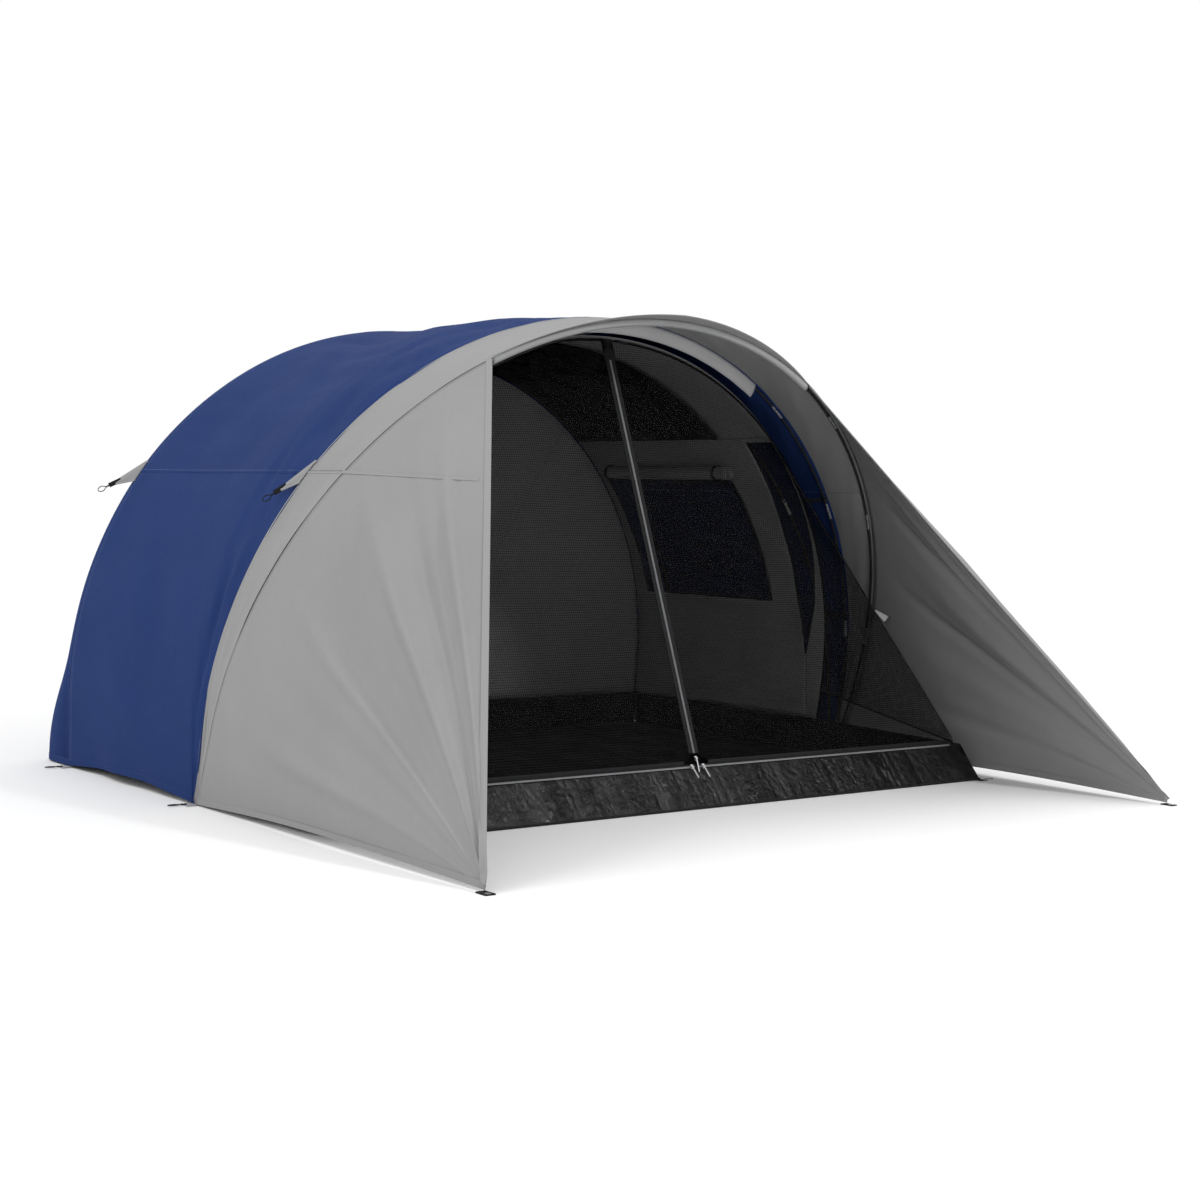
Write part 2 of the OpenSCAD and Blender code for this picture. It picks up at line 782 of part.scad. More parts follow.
rear_hoop();
back_hoop();
main_hoop();
front_hoop();
hoop_ferrules();
hoop_shock_cords();
hoop_foot_pins();
hoop_foot_webbing();
rear_hoop_sleeve();
back_hoop_sleeve();
main_hoop_sleeve();
front_hoop_sleeve();
fly_rear_panel();
fly_main_panel();
porch_canopy();
porch_wing_left();
porch_wing_right();
wing_tip_tabs();
groundsheet_floor();
tub_wall_left();
tub_wall_right();
tub_wall_rear();
front_sill();
floor_corner_tabs();
inner_side_wall_left();
inner_side_wall_right();
inner_rear_wall();
inner_front_band();
inner_roof_mesh();
inner_front_binding();
inner_hook_straps();
inner_hooks();
window_mesh_left();
window_mesh_right();
crescent_mesh_left();
crescent_mesh_right();
window_blinds();
blind_loops();
front_mesh_left();
front_mesh_right();
side_mesh_left();
side_mesh_right();
tieback_tabs();
tieback_toggles();
door_leaf_left();
door_leaf_right();
door_zip_left();
door_zip_right();
sill_zip();
door_slider();
door_pull();
sill_slider_left();
sill_pull_left();
sill_slider_right();
sill_pull_right();
guy_patches();
guy_webbing();
cord_loops();
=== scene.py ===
"""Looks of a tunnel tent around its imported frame.

Lengths are in metres. Surfaces are laid out from the shared hoop feet, as the design is, and moved
by SHIFT into the frame when a piece is made. The door faces -Y.
"""
import json
import math

import bpy
import numpy as np
from mathutils import Matrix, Vector, noise


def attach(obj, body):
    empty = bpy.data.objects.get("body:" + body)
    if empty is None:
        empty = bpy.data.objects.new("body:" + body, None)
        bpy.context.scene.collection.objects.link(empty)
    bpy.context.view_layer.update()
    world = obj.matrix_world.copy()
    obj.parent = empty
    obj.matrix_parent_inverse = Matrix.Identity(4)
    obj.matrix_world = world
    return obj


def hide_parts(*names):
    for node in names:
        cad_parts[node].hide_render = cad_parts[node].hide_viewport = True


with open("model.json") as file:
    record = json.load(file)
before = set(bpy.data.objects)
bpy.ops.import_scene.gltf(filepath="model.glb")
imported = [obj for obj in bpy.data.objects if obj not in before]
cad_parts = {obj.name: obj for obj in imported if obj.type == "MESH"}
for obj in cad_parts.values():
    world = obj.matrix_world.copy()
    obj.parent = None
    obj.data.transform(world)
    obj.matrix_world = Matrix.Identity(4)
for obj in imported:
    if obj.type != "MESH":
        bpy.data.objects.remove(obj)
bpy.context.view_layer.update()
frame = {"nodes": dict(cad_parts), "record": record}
SHIFT = np.array([0, 0.1765, 0])
SLOT_OF = {row["node"]: row["material_slot"] for row in frame["record"]["subparts"]}
SIDES = (("right", 1), ("left", -1))

# ---------- camera, light and floor ----------

CAMERA_AT = Vector((-4.028, -5.0465, 0.938))
CAMERA_YAW, CAMERA_PITCH, CAMERA_ROLL = 0.6779, -0.0493, 0.0275
FOCAL_MM, SENSOR_MM = 57.03, 36


def make_camera():
    look = Vector((math.sin(CAMERA_YAW) * math.cos(CAMERA_PITCH),
                   math.cos(CAMERA_YAW) * math.cos(CAMERA_PITCH), math.sin(CAMERA_PITCH)))
    level = Vector((math.cos(CAMERA_YAW), -math.sin(CAMERA_YAW), 0))
    upright = level.cross(look)
    right = level * math.cos(CAMERA_ROLL) + upright * math.sin(CAMERA_ROLL)
    up = right.cross(look)
    camera = bpy.data.objects.new("camera", bpy.data.cameras.new("camera"))
    camera.data.lens, camera.data.sensor_width = FOCAL_MM, SENSOR_MM
    camera.matrix_world = Matrix.Translation(CAMERA_AT) @ Matrix((right, up, -look)).transposed().to_4x4()
    bpy.context.collection.objects.link(camera)
    bpy.context.scene.camera = camera


def area_light(name, at, target, size, watts):
    lamp = bpy.data.lights.new(name, "AREA")
    lamp.energy, lamp.size = watts, size
    lamp_object = bpy.data.objects.new(name, lamp)
    lamp_object.location = at
    lamp_object.rotation_euler = (Vector(target) - Vector(at)).to_track_quat("-Z", "Y").to_euler()
    bpy.context.collection.objects.link(lamp_object)


def make_light():
    world = bpy.data.worlds.new("studio")
    world.use_nodes = True
    world.node_tree.nodes["Background"].inputs["Color"].default_value = (1, 1, 1, 1)
    world.node_tree.nodes["Background"].inputs["Strength"].default_value = 1.0
    bpy.context.scene.world = world
    bpy.context.scene.view_settings.view_transform = "Standard"
    sun = bpy.data.lights.new("sun", "SUN")
    sun.energy, sun.angle = 0.85, math.radians(25)
    sun_object = bpy.data.objects.new("sun", sun)
    sun_object.rotation_euler = Vector((0.45, -0.55, -1.0)).to_track_quat("-Z", "Y").to_euler()
    bpy.context.collection.objects.link(sun_object)
    area_light("front_softbox", (1.0, -4.6, 3.9), (0, -0.7, 0.1), 0.45, 80)


# ---------- materials ----------

MATERIALS = {}
DUST_TOP = 0.16


def put(tree, node, inputs):
    """Links or sets a node's inputs."""
    for key, value in inputs.items():
        if isinstance(value, bpy.types.NodeSocket):
            tree.links.new(value, node.inputs[key])
        else:
            node.inputs[key].default_value = value


def add(tree, kind, inputs, **settings):
    """A new node's first output."""
    node = tree.nodes.new("ShaderNode" + kind)
    for key, value in settings.items():
        setattr(node, key, value)
    put(tree, node, inputs)
    return node.outputs[0]


def math_node(tree, operation, *values, **settings):
    return add(tree, "Math", dict(enumerate(values)), operation=operation, **settings)


def times(tree, a, b):
    return math_node(tree, "MULTIPLY", a, b)


def spread(tree, value, start_at, stop_at, low, high):
    """Maps start_at to stop_at onto low to high."""
    return add(tree, "MapRange", {0: value, 1: start_at, 2: stop_at, 3: low, 4: high})


def bump_node(tree, strength, distance, height, **under):
    return add(tree, "Bump", {"Strength": strength, "Distance": distance, "Height": height, **under})


def start(name):
    """A new material's node tree and shader."""
    material = MATERIALS[name] = bpy.data.materials.new(name)
    material.use_nodes = True
    return material.node_tree, material.node_tree.nodes["Principled BSDF"]


def coordinates(tree, coords):
    return tree.nodes.new("ShaderNodeTexCoord").outputs[coords]


def axes_of(tree, vector):
    parts = tree.nodes.new("ShaderNodeSeparateXYZ")
    tree.links.new(vector, parts.inputs[0])
    return parts.outputs


def wave(tree, axis, pitch):
    """Sine along an axis, one period each pitch."""
    return math_node(tree, "SINE", times(tree, axis, 2 * math.pi / pitch))


def crossed(tree, axes, pitch):
    """Sines along two axes, multiplied."""
    return times(tree, wave(tree, axes[0], pitch), wave(tree, axes[1], pitch))


def noise_node(tree, vector, scale, detail=2.0, rough=0.55, distortion=0.0):
    return add(tree, "TexNoise", {"Vector": vector, "Scale": scale, "Detail": detail, "Roughness": rough,
                                  "Distortion": distortion})


def ranged(tree, value, low, high):
    """Maps noise, which is mostly 0.3 to 0.7, to a range."""
    return spread(tree, value, 0.3, 0.7, low, high)


def around_one(tree, value, share):
    return ranged(tree, value, 1 - share, 1 + share)


def tinted(tree, colour, factor):
    return add(tree, "VectorMath", {0: colour, "Scale": factor}, operation="SCALE")


def cloth(name, colour, coords="UV", rough=0.72, thread=0.0016, weave=0.25, mottle=0.05, crumple=0.25,
          crumple_scale=9.0, sheen=0.02, gloss=0.2, dust=0.0):
    """Woven fabric: threads, soft mottling, small creases, and dust towards the ground."""
    tree, shader = start(name)
    vector = coordinates(tree, coords)
    cloudy = noise_node(tree, vector, 2.4, 3.0)
    fine = noise_node(tree, vector, 60.0)
    factor = times(tree, around_one(tree, cloudy, mottle), around_one(tree, fine, mottle * 0.5))
    threads = crossed(tree, axes_of(tree, vector), thread)
    thread_shade = math_node(tree, "MULTIPLY_ADD", threads, weave * 0.12, 1.0)
    factor = times(tree, factor, thread_shade)
    if dust:
        height = axes_of(tree, coordinates(tree, "Object"))[2]
        low = spread(tree, height, 0.0, DUST_TOP, dust, 0.0)
        factor = math_node(tree, "SUBTRACT", factor, times(tree, low, cloudy))
    creases = noise_node(tree, vector, crumple_scale, 3.0, 0.5, 0.6)
    bump = bump_node(tree, crumple, 0.012, creases)
    put(tree, shader, {
        "Base Color": tinted(tree, colour, factor),
        "Roughness": ranged(tree, fine, rough - 0.05, rough + 0.05),
        "Normal": bump_node(tree, weave, 0.0004, threads, Normal=bump),
        "Sheen Weight": sheen, "Sheen Roughness": 0.4, "Specular IOR Level": gloss})


def net(name, colour, pitch, veil, strand, bars):
    """Knitted net: a fine weave that veils what is behind it, with heavier strands each pitch."""
    tree, shader = start(name)
    vector = coordinates(tree, "UV")
    axes = axes_of(tree, vector)
    fine = crossed(tree, axes, 0.0016)
    across, along = (math_node(tree, "ABSOLUTE", wave(tree, axis, 2 * pitch)) for axis in axes[:2])
    lowest = math_node(tree, "MINIMUM", across, along)
    coarse = spread(tree, lowest, strand - 0.12, strand + 0.12, bars, 0.0)
    veiled = math_node(tree, "MULTIPLY_ADD", fine, 0.12, veil)
    shade = math_node(tree, "MULTIPLY_ADD", fine, 0.2, 1.0)
    cloudy = around_one(tree, noise_node(tree, vector, 3.0), 0.12)
    put(tree, shader, {
        "Alpha": math_node(tree, "ADD", veiled, coarse, use_clamp=True),
        "Base Color": tinted(tree, colour, times(tree, shade, cloudy)),
        "Normal": bump_node(tree, 0.4, 0.0006, lowest),
        "Roughness": 0.8, "Specular IOR Level": 0.1})


def sheeting(name, colour, rough, crumple, crumple_scale, gloss, patches=False):
    """Woven polyethylene: flat tapes, and sharp little creases in patches or all over."""
    tree, shader = start(name)
    vector = coordinates(tree, "Object")
    axes = axes_of(tree, vector)
    tapes = crossed(tree, axes, 0.0028)
    cells = add(tree, "TexVoronoi", {"Vector": vector, "Scale": crumple_scale}, feature="DISTANCE_TO_EDGE")
    warped = noise_node(tree, vector, crumple_scale * 0.8, 5.0, 0.65, 1.4)
    creases = math_node(tree, "ADD", times(tree, cells, 0.5), warped)
    if patches:
        strip = add(tree, "CombineXYZ", {0: axes[0]})
        creases = times(tree, creases, spread(tree, noise_node(tree, strip, 8.0, 3.0), 0.42, 0.58, 0.2, 1.0))
    cloudy = noise_node(tree, vector, 7.0, 4.0)
    bump = bump_node(tree, crumple, 0.016, creases)
    put(tree, shader, {
        "Base Color": tinted(tree, colour, around_one(tree, cloudy, 0.3)),
        "Roughness": ranged(tree, cloudy, rough - 0.08, rough + 0.1),
        "Normal": bump_node(tree, 0.25, 0.0004, tapes, Normal=bump),
        "Specular IOR Level": gloss})


def hard(name, colour, rough, metal=0.0, grain=120.0, coat=0.0):
    """Plastic or metal with fine grain, wear and smudges."""
    tree, shader = start(name)
    vector = coordinates(tree, "Object")
    grains = noise_node(tree, vector, grain, 3.0)
    put(tree, shader, {
        "Base Color": tinted(tree, colour, around_one(tree, noise_node(tree, vector, 14.0, 3.0), 0.1)),
        "Roughness": ranged(tree, grains, rough * 0.8, rough * 1.25),
        "Normal": bump_node(tree, 0.12, 0.0004, grains),
        "Metallic": metal, "Coat Weight": coat})


BLUE = (0.0145, 0.036, 0.135)
GREY = (0.275, 0.275, 0.277)
hard("pole_glass_fibre", (0.012, 0.012, 0.013), 0.38, grain=300.0, coat=0.2)
hard("ferrule_steel", (0.62, 0.63, 0.65), 0.3, metal=1.0)
hard("pin_steel", (0.6, 0.6, 0.62), 0.35, metal=1.0)
cloth("shock_cord", (0.7, 0.7, 0.68), "Object", thread=0.0012)
cloth("grey_webbing", (0.42, 0.42, 0.425), "Object", thread=0.0022, weave=0.9, crumple=0.05)
cloth("black_webbing", (0.010, 0.010, 0.011), "Object", thread=0.0022, weave=0.9, crumple=0.05)
cloth("blue_fabric", BLUE, rough=0.82, mottle=0.045, dust=0.1, gloss=0.1, sheen=0.0)
cloth("grey_fabric", GREY, mottle=0.03, dust=0.12)
cloth("sleeve_fabric", (0.46, 0.46, 0.465), mottle=0.03)
cloth("inner_fabric", (0.325, 0.325, 0.328), mottle=0.05, crumple=0.5, crumple_scale=6.0)
net("roof_mesh", (0.003, 0.003, 0.003), 0.006, 0.86, 0.35, 0.12)
net("window_mesh", (0.003, 0.003, 0.0035), 0.008, 0.14, 0.30, 0.3)
net("door_mesh", (0.006, 0.006, 0.0062), 0.008, 0.14, 0.26, 0.40)
sheeting("groundsheet", (0.003, 0.003, 0.0032), 0.60, 0.35, 14.0, gloss=0.2)
sheeting("sill_sheet", (0.0025, 0.0025, 0.0027), 0.11, 1.0, 34.0, gloss=0.4, patches=True)
cloth("binding", (0.008, 0.008, 0.009), "Object", thread=0.0015, weave=0.6, crumple=0.05)
hard("black_plastic", (0.010, 0.010, 0.011), 0.42)
cloth("blind_fabric", (0.3, 0.3, 0.303), "Object", crumple=0.6, crumple_scale=16.0)
hard("zip_coil", (0.26, 0.263, 0.27), 0.42)
hard("zip_metal", (0.62, 0.62, 0.64), 0.28, metal=1.0)
cloth("black_cord", (0.010, 0.010, 0.011), "Object", thread=0.0016, weave=1.0, crumple=0.0)
cloth("blue_thread", (0.16, 0.22, 0.42), "Object", thread=0.0008)
cloth("grey_thread", (0.14, 0.14, 0.145), "Object", thread=0.0008)
cloth("black_thread", (0.03, 0.03, 0.032), "Object", thread=0.0008)

# ---------- pieces ----------


BAND_TAPER = 0.94


class Pile:
    """Vertices and faces of a piece that is made of many small forms."""

    def __init__(self):
        self.points, self.faces, self.count = [], [], 0

    def put(self, points, faces):
        self.points.append(np.asarray(points, float).reshape(-1, 3))
        self.faces += [tuple(int(i) + self.count for i in face) for face in faces]
        self.count += len(self.points[-1])


def piece(name, points, faces, slot, body="root", replaces=(), material=None, uv=None, smooth=True):
    mesh = bpy.data.meshes.new(name)
    points = np.asarray(points, float).reshape(-1, 3) + SHIFT
    mesh.from_pydata(points.tolist(), [], [tuple(face) for face in faces])
    mesh.materials.append(MATERIALS[material or slot])
    mesh.polygons.foreach_set("use_smooth", [smooth] * len(mesh.polygons))
    if uv is not None:
        layer = mesh.uv_layers.new(name="UVMap")
        loops = np.zeros(len(mesh.loops), int)
        mesh.loops.foreach_get("vertex_index", loops)
        layer.data.foreach_set("uv", np.asarray(uv, float).reshape(-1, 2)[loops].ravel())
    made = bpy.data.objects.new(name, mesh)
    bpy.context.collection.objects.link(made)
    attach(made, body)
    if replaces:
        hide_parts(*replaces)
    return made


def pile_piece(name, pile, slot, smooth=False, **more):
    piece(name, np.concatenate(pile.points), pile.faces, slot, smooth=smooth, **more)


def quads(rows, columns, keep=None):
    index = np.arange(rows * columns).reshape(rows, columns)
    faces = np.stack([index[:-1, :-1], index[:-1, 1:], index[1:, 1:], index[1:, :-1]], -1)
    return faces[keep] if keep is not None else faces.reshape(-1, 4)


def unit(vectors):
    return vectors / np.maximum(np.linalg.norm(vectors, axis=-1, keepdims=True), 1e-12)


def normals_of(grid):
    return unit(np.cross(np.gradient(grid, axis=1), np.gradient(grid, axis=0)))


def lengths(grid, axis):
    step = np.linalg.norm(np.diff(grid, axis=axis), axis=-1)
    zero = np.zeros_like(np.take(step, [0], axis=axis))
    return np.concatenate([zero, np.cumsum(step, axis=axis)], axis=axis)


def fabric(name, grid, slot, body="root", replaces=(), thick=0.0008, keep=None, uv=None):
    """A cloth panel on a grid of points, with UVs laid out at its own flat size and a thickness."""
    across, down = lengths(grid, 1), lengths(grid, 0)
    if uv is None:
        uv = np.stack([across - across.mean(axis=1, keepdims=True), down], -1)
    faces = quads(*grid.shape[:2], keep)
    made = piece(name, grid, faces, slot, body, replaces, uv=uv)
    solid = made.modifiers.new("thickness", "SOLIDIFY")
    solid.thickness, solid.offset = thick, 0.0


def skin(rings, sides):
    """Faces of a tube of rings, with its two ends."""
    index = np.arange(rings * sides).reshape(rings, sides)
    after = np.roll(index, -1, axis=1)
    faces = np.stack([index[:-1], after[:-1], after[1:], index[1:]], -1).reshape(-1, 4).tolist()
    return faces + [index[0, ::-1].tolist(), index[-1].tolist()]


def tube(pile, path, radius, sides=8, start_normal=(0, 0, 1)):
    """A round tube along a path."""
    path = np.asarray(path, float)
    normal = np.array(start_normal, float)
    angles = np.arange(sides) * 2 * math.pi / sides
    points = []
    for at, way in zip(path, unit(np.gradient(path, axis=0))):
        normal = unit(normal - way * (normal @ way))
        points.append(at + radius * (np.outer(np.cos(angles), normal)
                                     + np.outer(np.sin(angles), np.cross(way, normal))))
    pile.put(points, skin(len(path), sides))


def band(pile, path, normals, width, thick, raised=0.0):
    """A flat band along a path, thick along its normals and raised from the path."""
    path = np.asarray(path, float)
    normals = unit(np.broadcast_to(np.asarray(normals, float), path.shape))
    side = unit(np.cross(unit(np.gradient(path, axis=0)), normals)) * width / 2
    low, high = path + normals * raised, path + normals * (raised + thick)
    ring = np.stack([low - side, low + side, high + side * BAND_TAPER, high - side * BAND_TAPER], 1)
    pile.put(ring, skin(len(path), 4))


def resample(path, step, other):
    """The path and another array along it, at an even step."""
    path = np.asarray(path, float)
    run = np.concatenate([[0], np.cumsum(np.linalg.norm(np.diff(path, axis=0), axis=1))])
    at = np.linspace(0, run[-1], max(2, int(round(run[-1] / step)) + 1))
    return [np.stack([np.interp(at, run, values[:, k]) for k in range(3)], 1) for values in (path, other)]


def stitch(pile, path, normals, pitch=0.006, radius=0.0006, raised=0.0006):
    """A row of thread stitches along a path on a surface."""
    points, ups = resample(path, pitch, np.broadcast_to(np.asarray(normals, float), np.shape(path)))
    ups = unit(ups)
    ways = unit(np.gradient(points, axis=0))
    sides = np.cross(ways, ups)
    for at, way, up, side in zip(points, ways, ups, sides):
        along, aside = way * pitch * 0.36, side * radius * 1.3
        pile.put([at - along, at + aside, at + along, at - aside, at + up * (raised + radius)],
                 [(0, 1, 4), (1, 2, 4), (2, 3, 4), (3, 0, 4), (3, 2, 1, 0)])


def lane(grid, normals, side, inset):
    """Path and normals along one side of a grid, inset from it."""
    if side.startswith("last"):
        grid, normals = (g[::-1] if side == "last_row" else g[:, ::-1] for g in (grid, normals))
    if side.endswith("column"):
        grid, normals = grid.transpose(1, 0, 2), normals.transpose(1, 0, 2)
    run = lengths(grid, 0)
    path = [[np.interp(inset, run[:, j], grid[:, j, k]) for k in range(3)] for j in range(grid.shape[1])]
    return np.array(path), normals[0]


def at_height(grid, normals, z, right):
    """Path along a grid's rows where it passes the height z, on one side of the tent."""
    path, ups = [], []
    for row, up in zip(grid, normals):
        half = row[:, 0] > 0 if right else row[:, 0] < 0
        row, up = row[half], up[half]
        order = np.argsort(row[:, 2])
        path.append([np.interp(z, row[order, 2], row[order, k]) for k in range(3)])
        ups.append([np.interp(z, row[order, 2], up[order, k]) for k in range(3)])
    return np.array(path), np.array(ups)


def ripple(points, scale, seed=0.0):
    """Smooth noise at points; scale is per axis, in cycles a metre."""
    flat = (np.asarray(points) * np.array(scale) + seed).reshape(-1, 3)
    return np.array([noise.noise(Vector(p)) for p in flat]).reshape(np.shape(points)[:-1])


def flipped(points, flip):
    """The points, on the right for a flip of 1 and on the left for -1."""
    return np.asarray(points) * np.array([flip, 1, 1])


def mix(a, b, t):
    return a + (b - a) * t


ACROSS, BACK, UP = np.eye(3)
FORWARD = -BACK


# ---------- hoops and fly ----------

HOOP_R = 1.37
FLY_GAP = 0.012
HEM_Z = 0.004
LEANS = np.radians([-2, -3.2, 9.5, 19.5])
FEET_Y = [0.925, 0.013, 0.0, -0.013]
LEGS = [0.205, 0.205, 0.205, 0.255]
SEAM_Z = 1.017
WING_ANGLE = math.radians(29.5)
TIP = np.array([1.385, -1.53, 0.026])
BRIM = 0.055
WING_SEAM_DROP = 0.02 / 30


def arch_len(leg, gap=FLY_GAP):
    return (HOOP_R + gap) * math.pi / 2 + leg


WING_START = WING_ANGLE * HOOP_R / arch_len(LEGS[3])


def on_hoop(i, s, gap=0.0):
    """Point on hoop i at the distance s from its top, positive to the right."""
    r = HOOP_R + gap
    s = np.asarray(s, float)
    angle = np.minimum(abs(s) / r, math.pi / 2)
    h = LEGS[i] + r * np.cos(angle) - np.maximum(abs(s) - r * math.pi / 2, 0)
    return np.stack([np.sign(s) * r * np.sin(angle), FEET_Y[i] - h * math.sin(LEANS[i]),
                     h * math.cos(LEANS[i])], -1)


def over_hoop(i, u, gap=FLY_GAP):
    return on_hoop(i, np.asarray(u) * (arch_len(LEGS[i], gap) - HEM_Z), gap)


def bay(i, j, u, t, dip):
    """Fly between two hoops, which sags by dip in the middle."""
    u, t = np.meshgrid(u, t)
    a, b = over_hoop(i, u), over_hoop(j, u)
    grid = mix(a, b, t[..., None])
    inward = unit(np.stack([-grid[..., 0], 0 * u, 0.205 - grid[..., 2]], -1))
    return grid + inward * (dip * np.sin(math.pi * t) * (1 - abs(u) ** 4))[..., None]


def lifted(grid, u, t, height):
    """Lets the hem rise between the feet."""
    near = np.clip((abs(u) - 0.93) / 0.07, 0, 1) ** 2
    grid[..., 2] += height * np.sin(math.pi * np.clip(t, 0, 1)) ** 0.8 * near
    return grid


def points_out(grid):
    """Whether a grid's normals point away from the middle of the tent."""
    return (normals_of(grid) * (grid - np.array([0, grid[..., 1].mean(), 0.3]))).sum() > 0


def facing_out(grid):
    return grid if points_out(grid) else grid[:, ::-1]


def outward(grid):
    """Normals of a grid, pointing out of the tent."""
    return normals_of(grid) if points_out(grid) else -normals_of(grid)


def folds_of(u, t, u_scale, t_scale, slant, seed):
    """Smooth noise over a panel, u across and t along it, with its folds leaning by slant."""
    across, along = u * u_scale + t * slant[0], t * t_scale + u * slant[1]
    return ripple(np.stack([across, along, 0 * u], -1), (1, 1, 1), seed)


def seam_bands(pile, grid, normal, tint=None):
    """The seam across both sides of a panel, with two rows of stitches where tint is given."""
    for right in (False, True):
        path, up = at_height(grid, normal, SEAM_Z, right)
        band(pile, path, up, 0.011, 0.0012, 0.0004)
        for offset in (-0.0045, 0.0045) if tint else ():
            stitch(threads[tint], path + np.array([0, 0, offset]), up, raised=0.002)


def hem_bands(pile, grid, normal, stitch_at):
    """Hems at the two ground edges of a blue panel."""
    for side in ("first_column", "last_column"):
        path, up = lane(grid, normal, side, 0.012)
        band(pile, path, up, 0.022, 0.001, 0.0004)
        stitch(threads["blue"], lane(grid, normal, side, stitch_at)[0], up, raised=0.0018)


U = np.linspace(-1, 1, 241)
threads = {"blue": Pile(), "grey": Pile(), "black": Pile()}


def make_main_panel():
    back_t, front_t = np.linspace(0, 1, 46), np.linspace(0, 1, 14)[1:]
    u, t = np.meshgrid(U, np.concatenate([back_t, front_t + 1]))
    back = lifted(bay(0, 1, U, back_t, 0.018), u[:len(back_t)], t[:len(back_t)], 0.024)
    front = bay(1, 2, U, front_t, 0.004)
    front[-1] = over_hoop(2, U, FLY_GAP - 0.001) + np.array([0, -0.008, 0])
    grid = np.concatenate([back, front])
    held = np.sin(math.pi * np.clip(t, 0, 1)) ** 0.7
    free = np.where(t > 1, np.sin(math.pi * np.clip(t - 1, 0, 1)) * 0.8, held)
    crown = np.exp(-(u / 0.45) ** 2)
    flutes = 0.020 * folds_of(u, t, 6, 0.9, (0, 0), 3.1)
    slack = 0.018 * folds_of(u, t, 11, 3.2, (2, 0), 5.7)
    puckers = 0.013 * folds_of(u, t, 26, 2.2, (0, 3), 8.4) * (0.3 + crown)
    amount = free * (flutes + slack + puckers)
    grid = facing_out(grid + outward(grid) * amount[..., None])
    normal = normals_of(grid)
    fabric("fly_blue_panel", grid, "blue_fabric", replaces=["fly_main_panel"])
    for side, inset in (("first_row", 0.008), ("first_row", 0.018), ("last_row", 0.006)):
        stitch(threads["blue"], *lane(grid, normal, side, inset))
    seams = Pile()
    seam_bands(seams, grid, normal, "blue")
    hem_bands(seams, grid, normal, 0.020)
    pile_piece("fly_blue_seams_and_hems", seams, "blue_fabric")


REAR_RINGS = [1, 0.9985, 0.996, 0.992, 0.985, 0.976, 0.964, 0.95, 0.93, 0.905, 0.875, 0.84, 0.8, 0.75, 0.69,
              0.62, 0.55, 0.47, 0.38, 0.29, 0.2, 0.12, 0.05, 0.012, 0.0015]
SEAMED_RINGS = 11


def make_rear_panel():
    """Nested arches whose depth follows a rounded rectangle."""
    u, k = np.meshgrid(U, REAR_RINGS)
    base = over_hoop(0, u)
    z = base[..., 2] * k
    corner = 2.3 + 6 * np.exp(-(z / 0.22) ** 2)
    depth = 0.06 + 0.215 * (1 - (z / 1.6) ** 2)
    y = FEET_Y[0] - z * math.sin(LEANS[0]) + depth * (1 - k ** corner) ** (1 / corner)
    grid = np.stack([base[..., 0] * k, y, np.maximum(z, HEM_Z)], -1)
    loose = np.clip((1 - k) / 0.05, 0, 1)
    folds = 0.014 * ripple(grid, (5.5, 2.0, 1.1), 2.2) + 0.018 * ripple(grid, (2.4, 2.0, 2.6), 6.1) - 0.004
    grid = grid + outward(grid) * (loose * folds)[..., None]
    grid[..., 2] = np.maximum(grid[..., 2], HEM_Z)
    grid = facing_out(grid)
    normal = normals_of(grid)
    fabric("fly_rear_panel_cloth", grid, "blue_fabric", replaces=["fly_rear_panel"])
    for inset in (0.008, 0.017):
        stitch(threads["blue"], *lane(grid, normal, "first_row", inset))
    seams = Pile()
    seam_bands(seams, grid[:SEAMED_RINGS], normal[:SEAMED_RINGS])
    hem_bands(seams, grid, normal, 0.021)
    pile_piece("fly_rear_seams_and_hem", seams, "blue_fabric")


GORE_ROWS = 22


def make_canopy():
    """Grey gore between the main and front hoops, with the brim in front of the front hoop."""
    u, t = np.meshgrid(U, np.linspace(0, 1, GORE_ROWS))
    gore = lifted(bay(2, 3, U, t[:, 0], 0.006), u, t, 0.010)
    held = np.sin(math.pi * t) ** 0.7
    folds = 0.009 * folds_of(u, t, 9, 1.1, (0, 0), 4.4) + 0.006 * folds_of(u, t, 20, 2.5, (3, -2), 9.3)
    gore = gore + outward(gore) * (held * folds)[..., None]
    reach = BRIM * np.maximum(0, 1 - abs(U) / WING_START) ** 0.8
    brim = [over_hoop(3, U) + np.stack([0 * U, -reach * share - 0.001, reach * share * 0.18], -1)
            for share in (0.25, 0.5, 0.75, 1.0)]
    grid = facing_out(np.concatenate([gore, np.array(brim)]))
    normal = normals_of(grid)
    fabric("porch_canopy_cloth", grid, "grey_fabric", replaces=["porch_canopy"])
    trim = Pile()
    brimmed = abs(U) < WING_START + 0.01
    hem, up = lane(grid, normal, "last_row", 0.007)
    band(trim, hem[brimmed], up[brimmed], 0.016, 0.0012, 0.0004)
    stitch(threads["grey"], lane(grid, normal, "last_row", 0.0135)[0][brimmed], up[brimmed], raised=0.0018)
    for inset in (0.008, 0.020):
        stitch(threads["grey"], *lane(grid, normal, "first_row", inset))
    ridge, ridge_up = grid[GORE_ROWS - 1], normal[GORE_ROWS - 1]
    stitch(threads["grey"], mix(ridge, grid[GORE_ROWS - 2], 0.6), ridge_up)
    band(trim, *resample(ridge, 0.02, ridge_up), 0.012, 0.0012, 0.0002)
    seam_bands(trim, grid[:GORE_ROWS], normal[:GORE_ROWS], "grey")
    crown = len(U) // 2
    band(trim, grid[:, crown], normal[:, crown], 0.012, 0.0016, 0.0004)
    pile_piece("porch_canopy_seams_and_hem", trim, "grey_fabric")


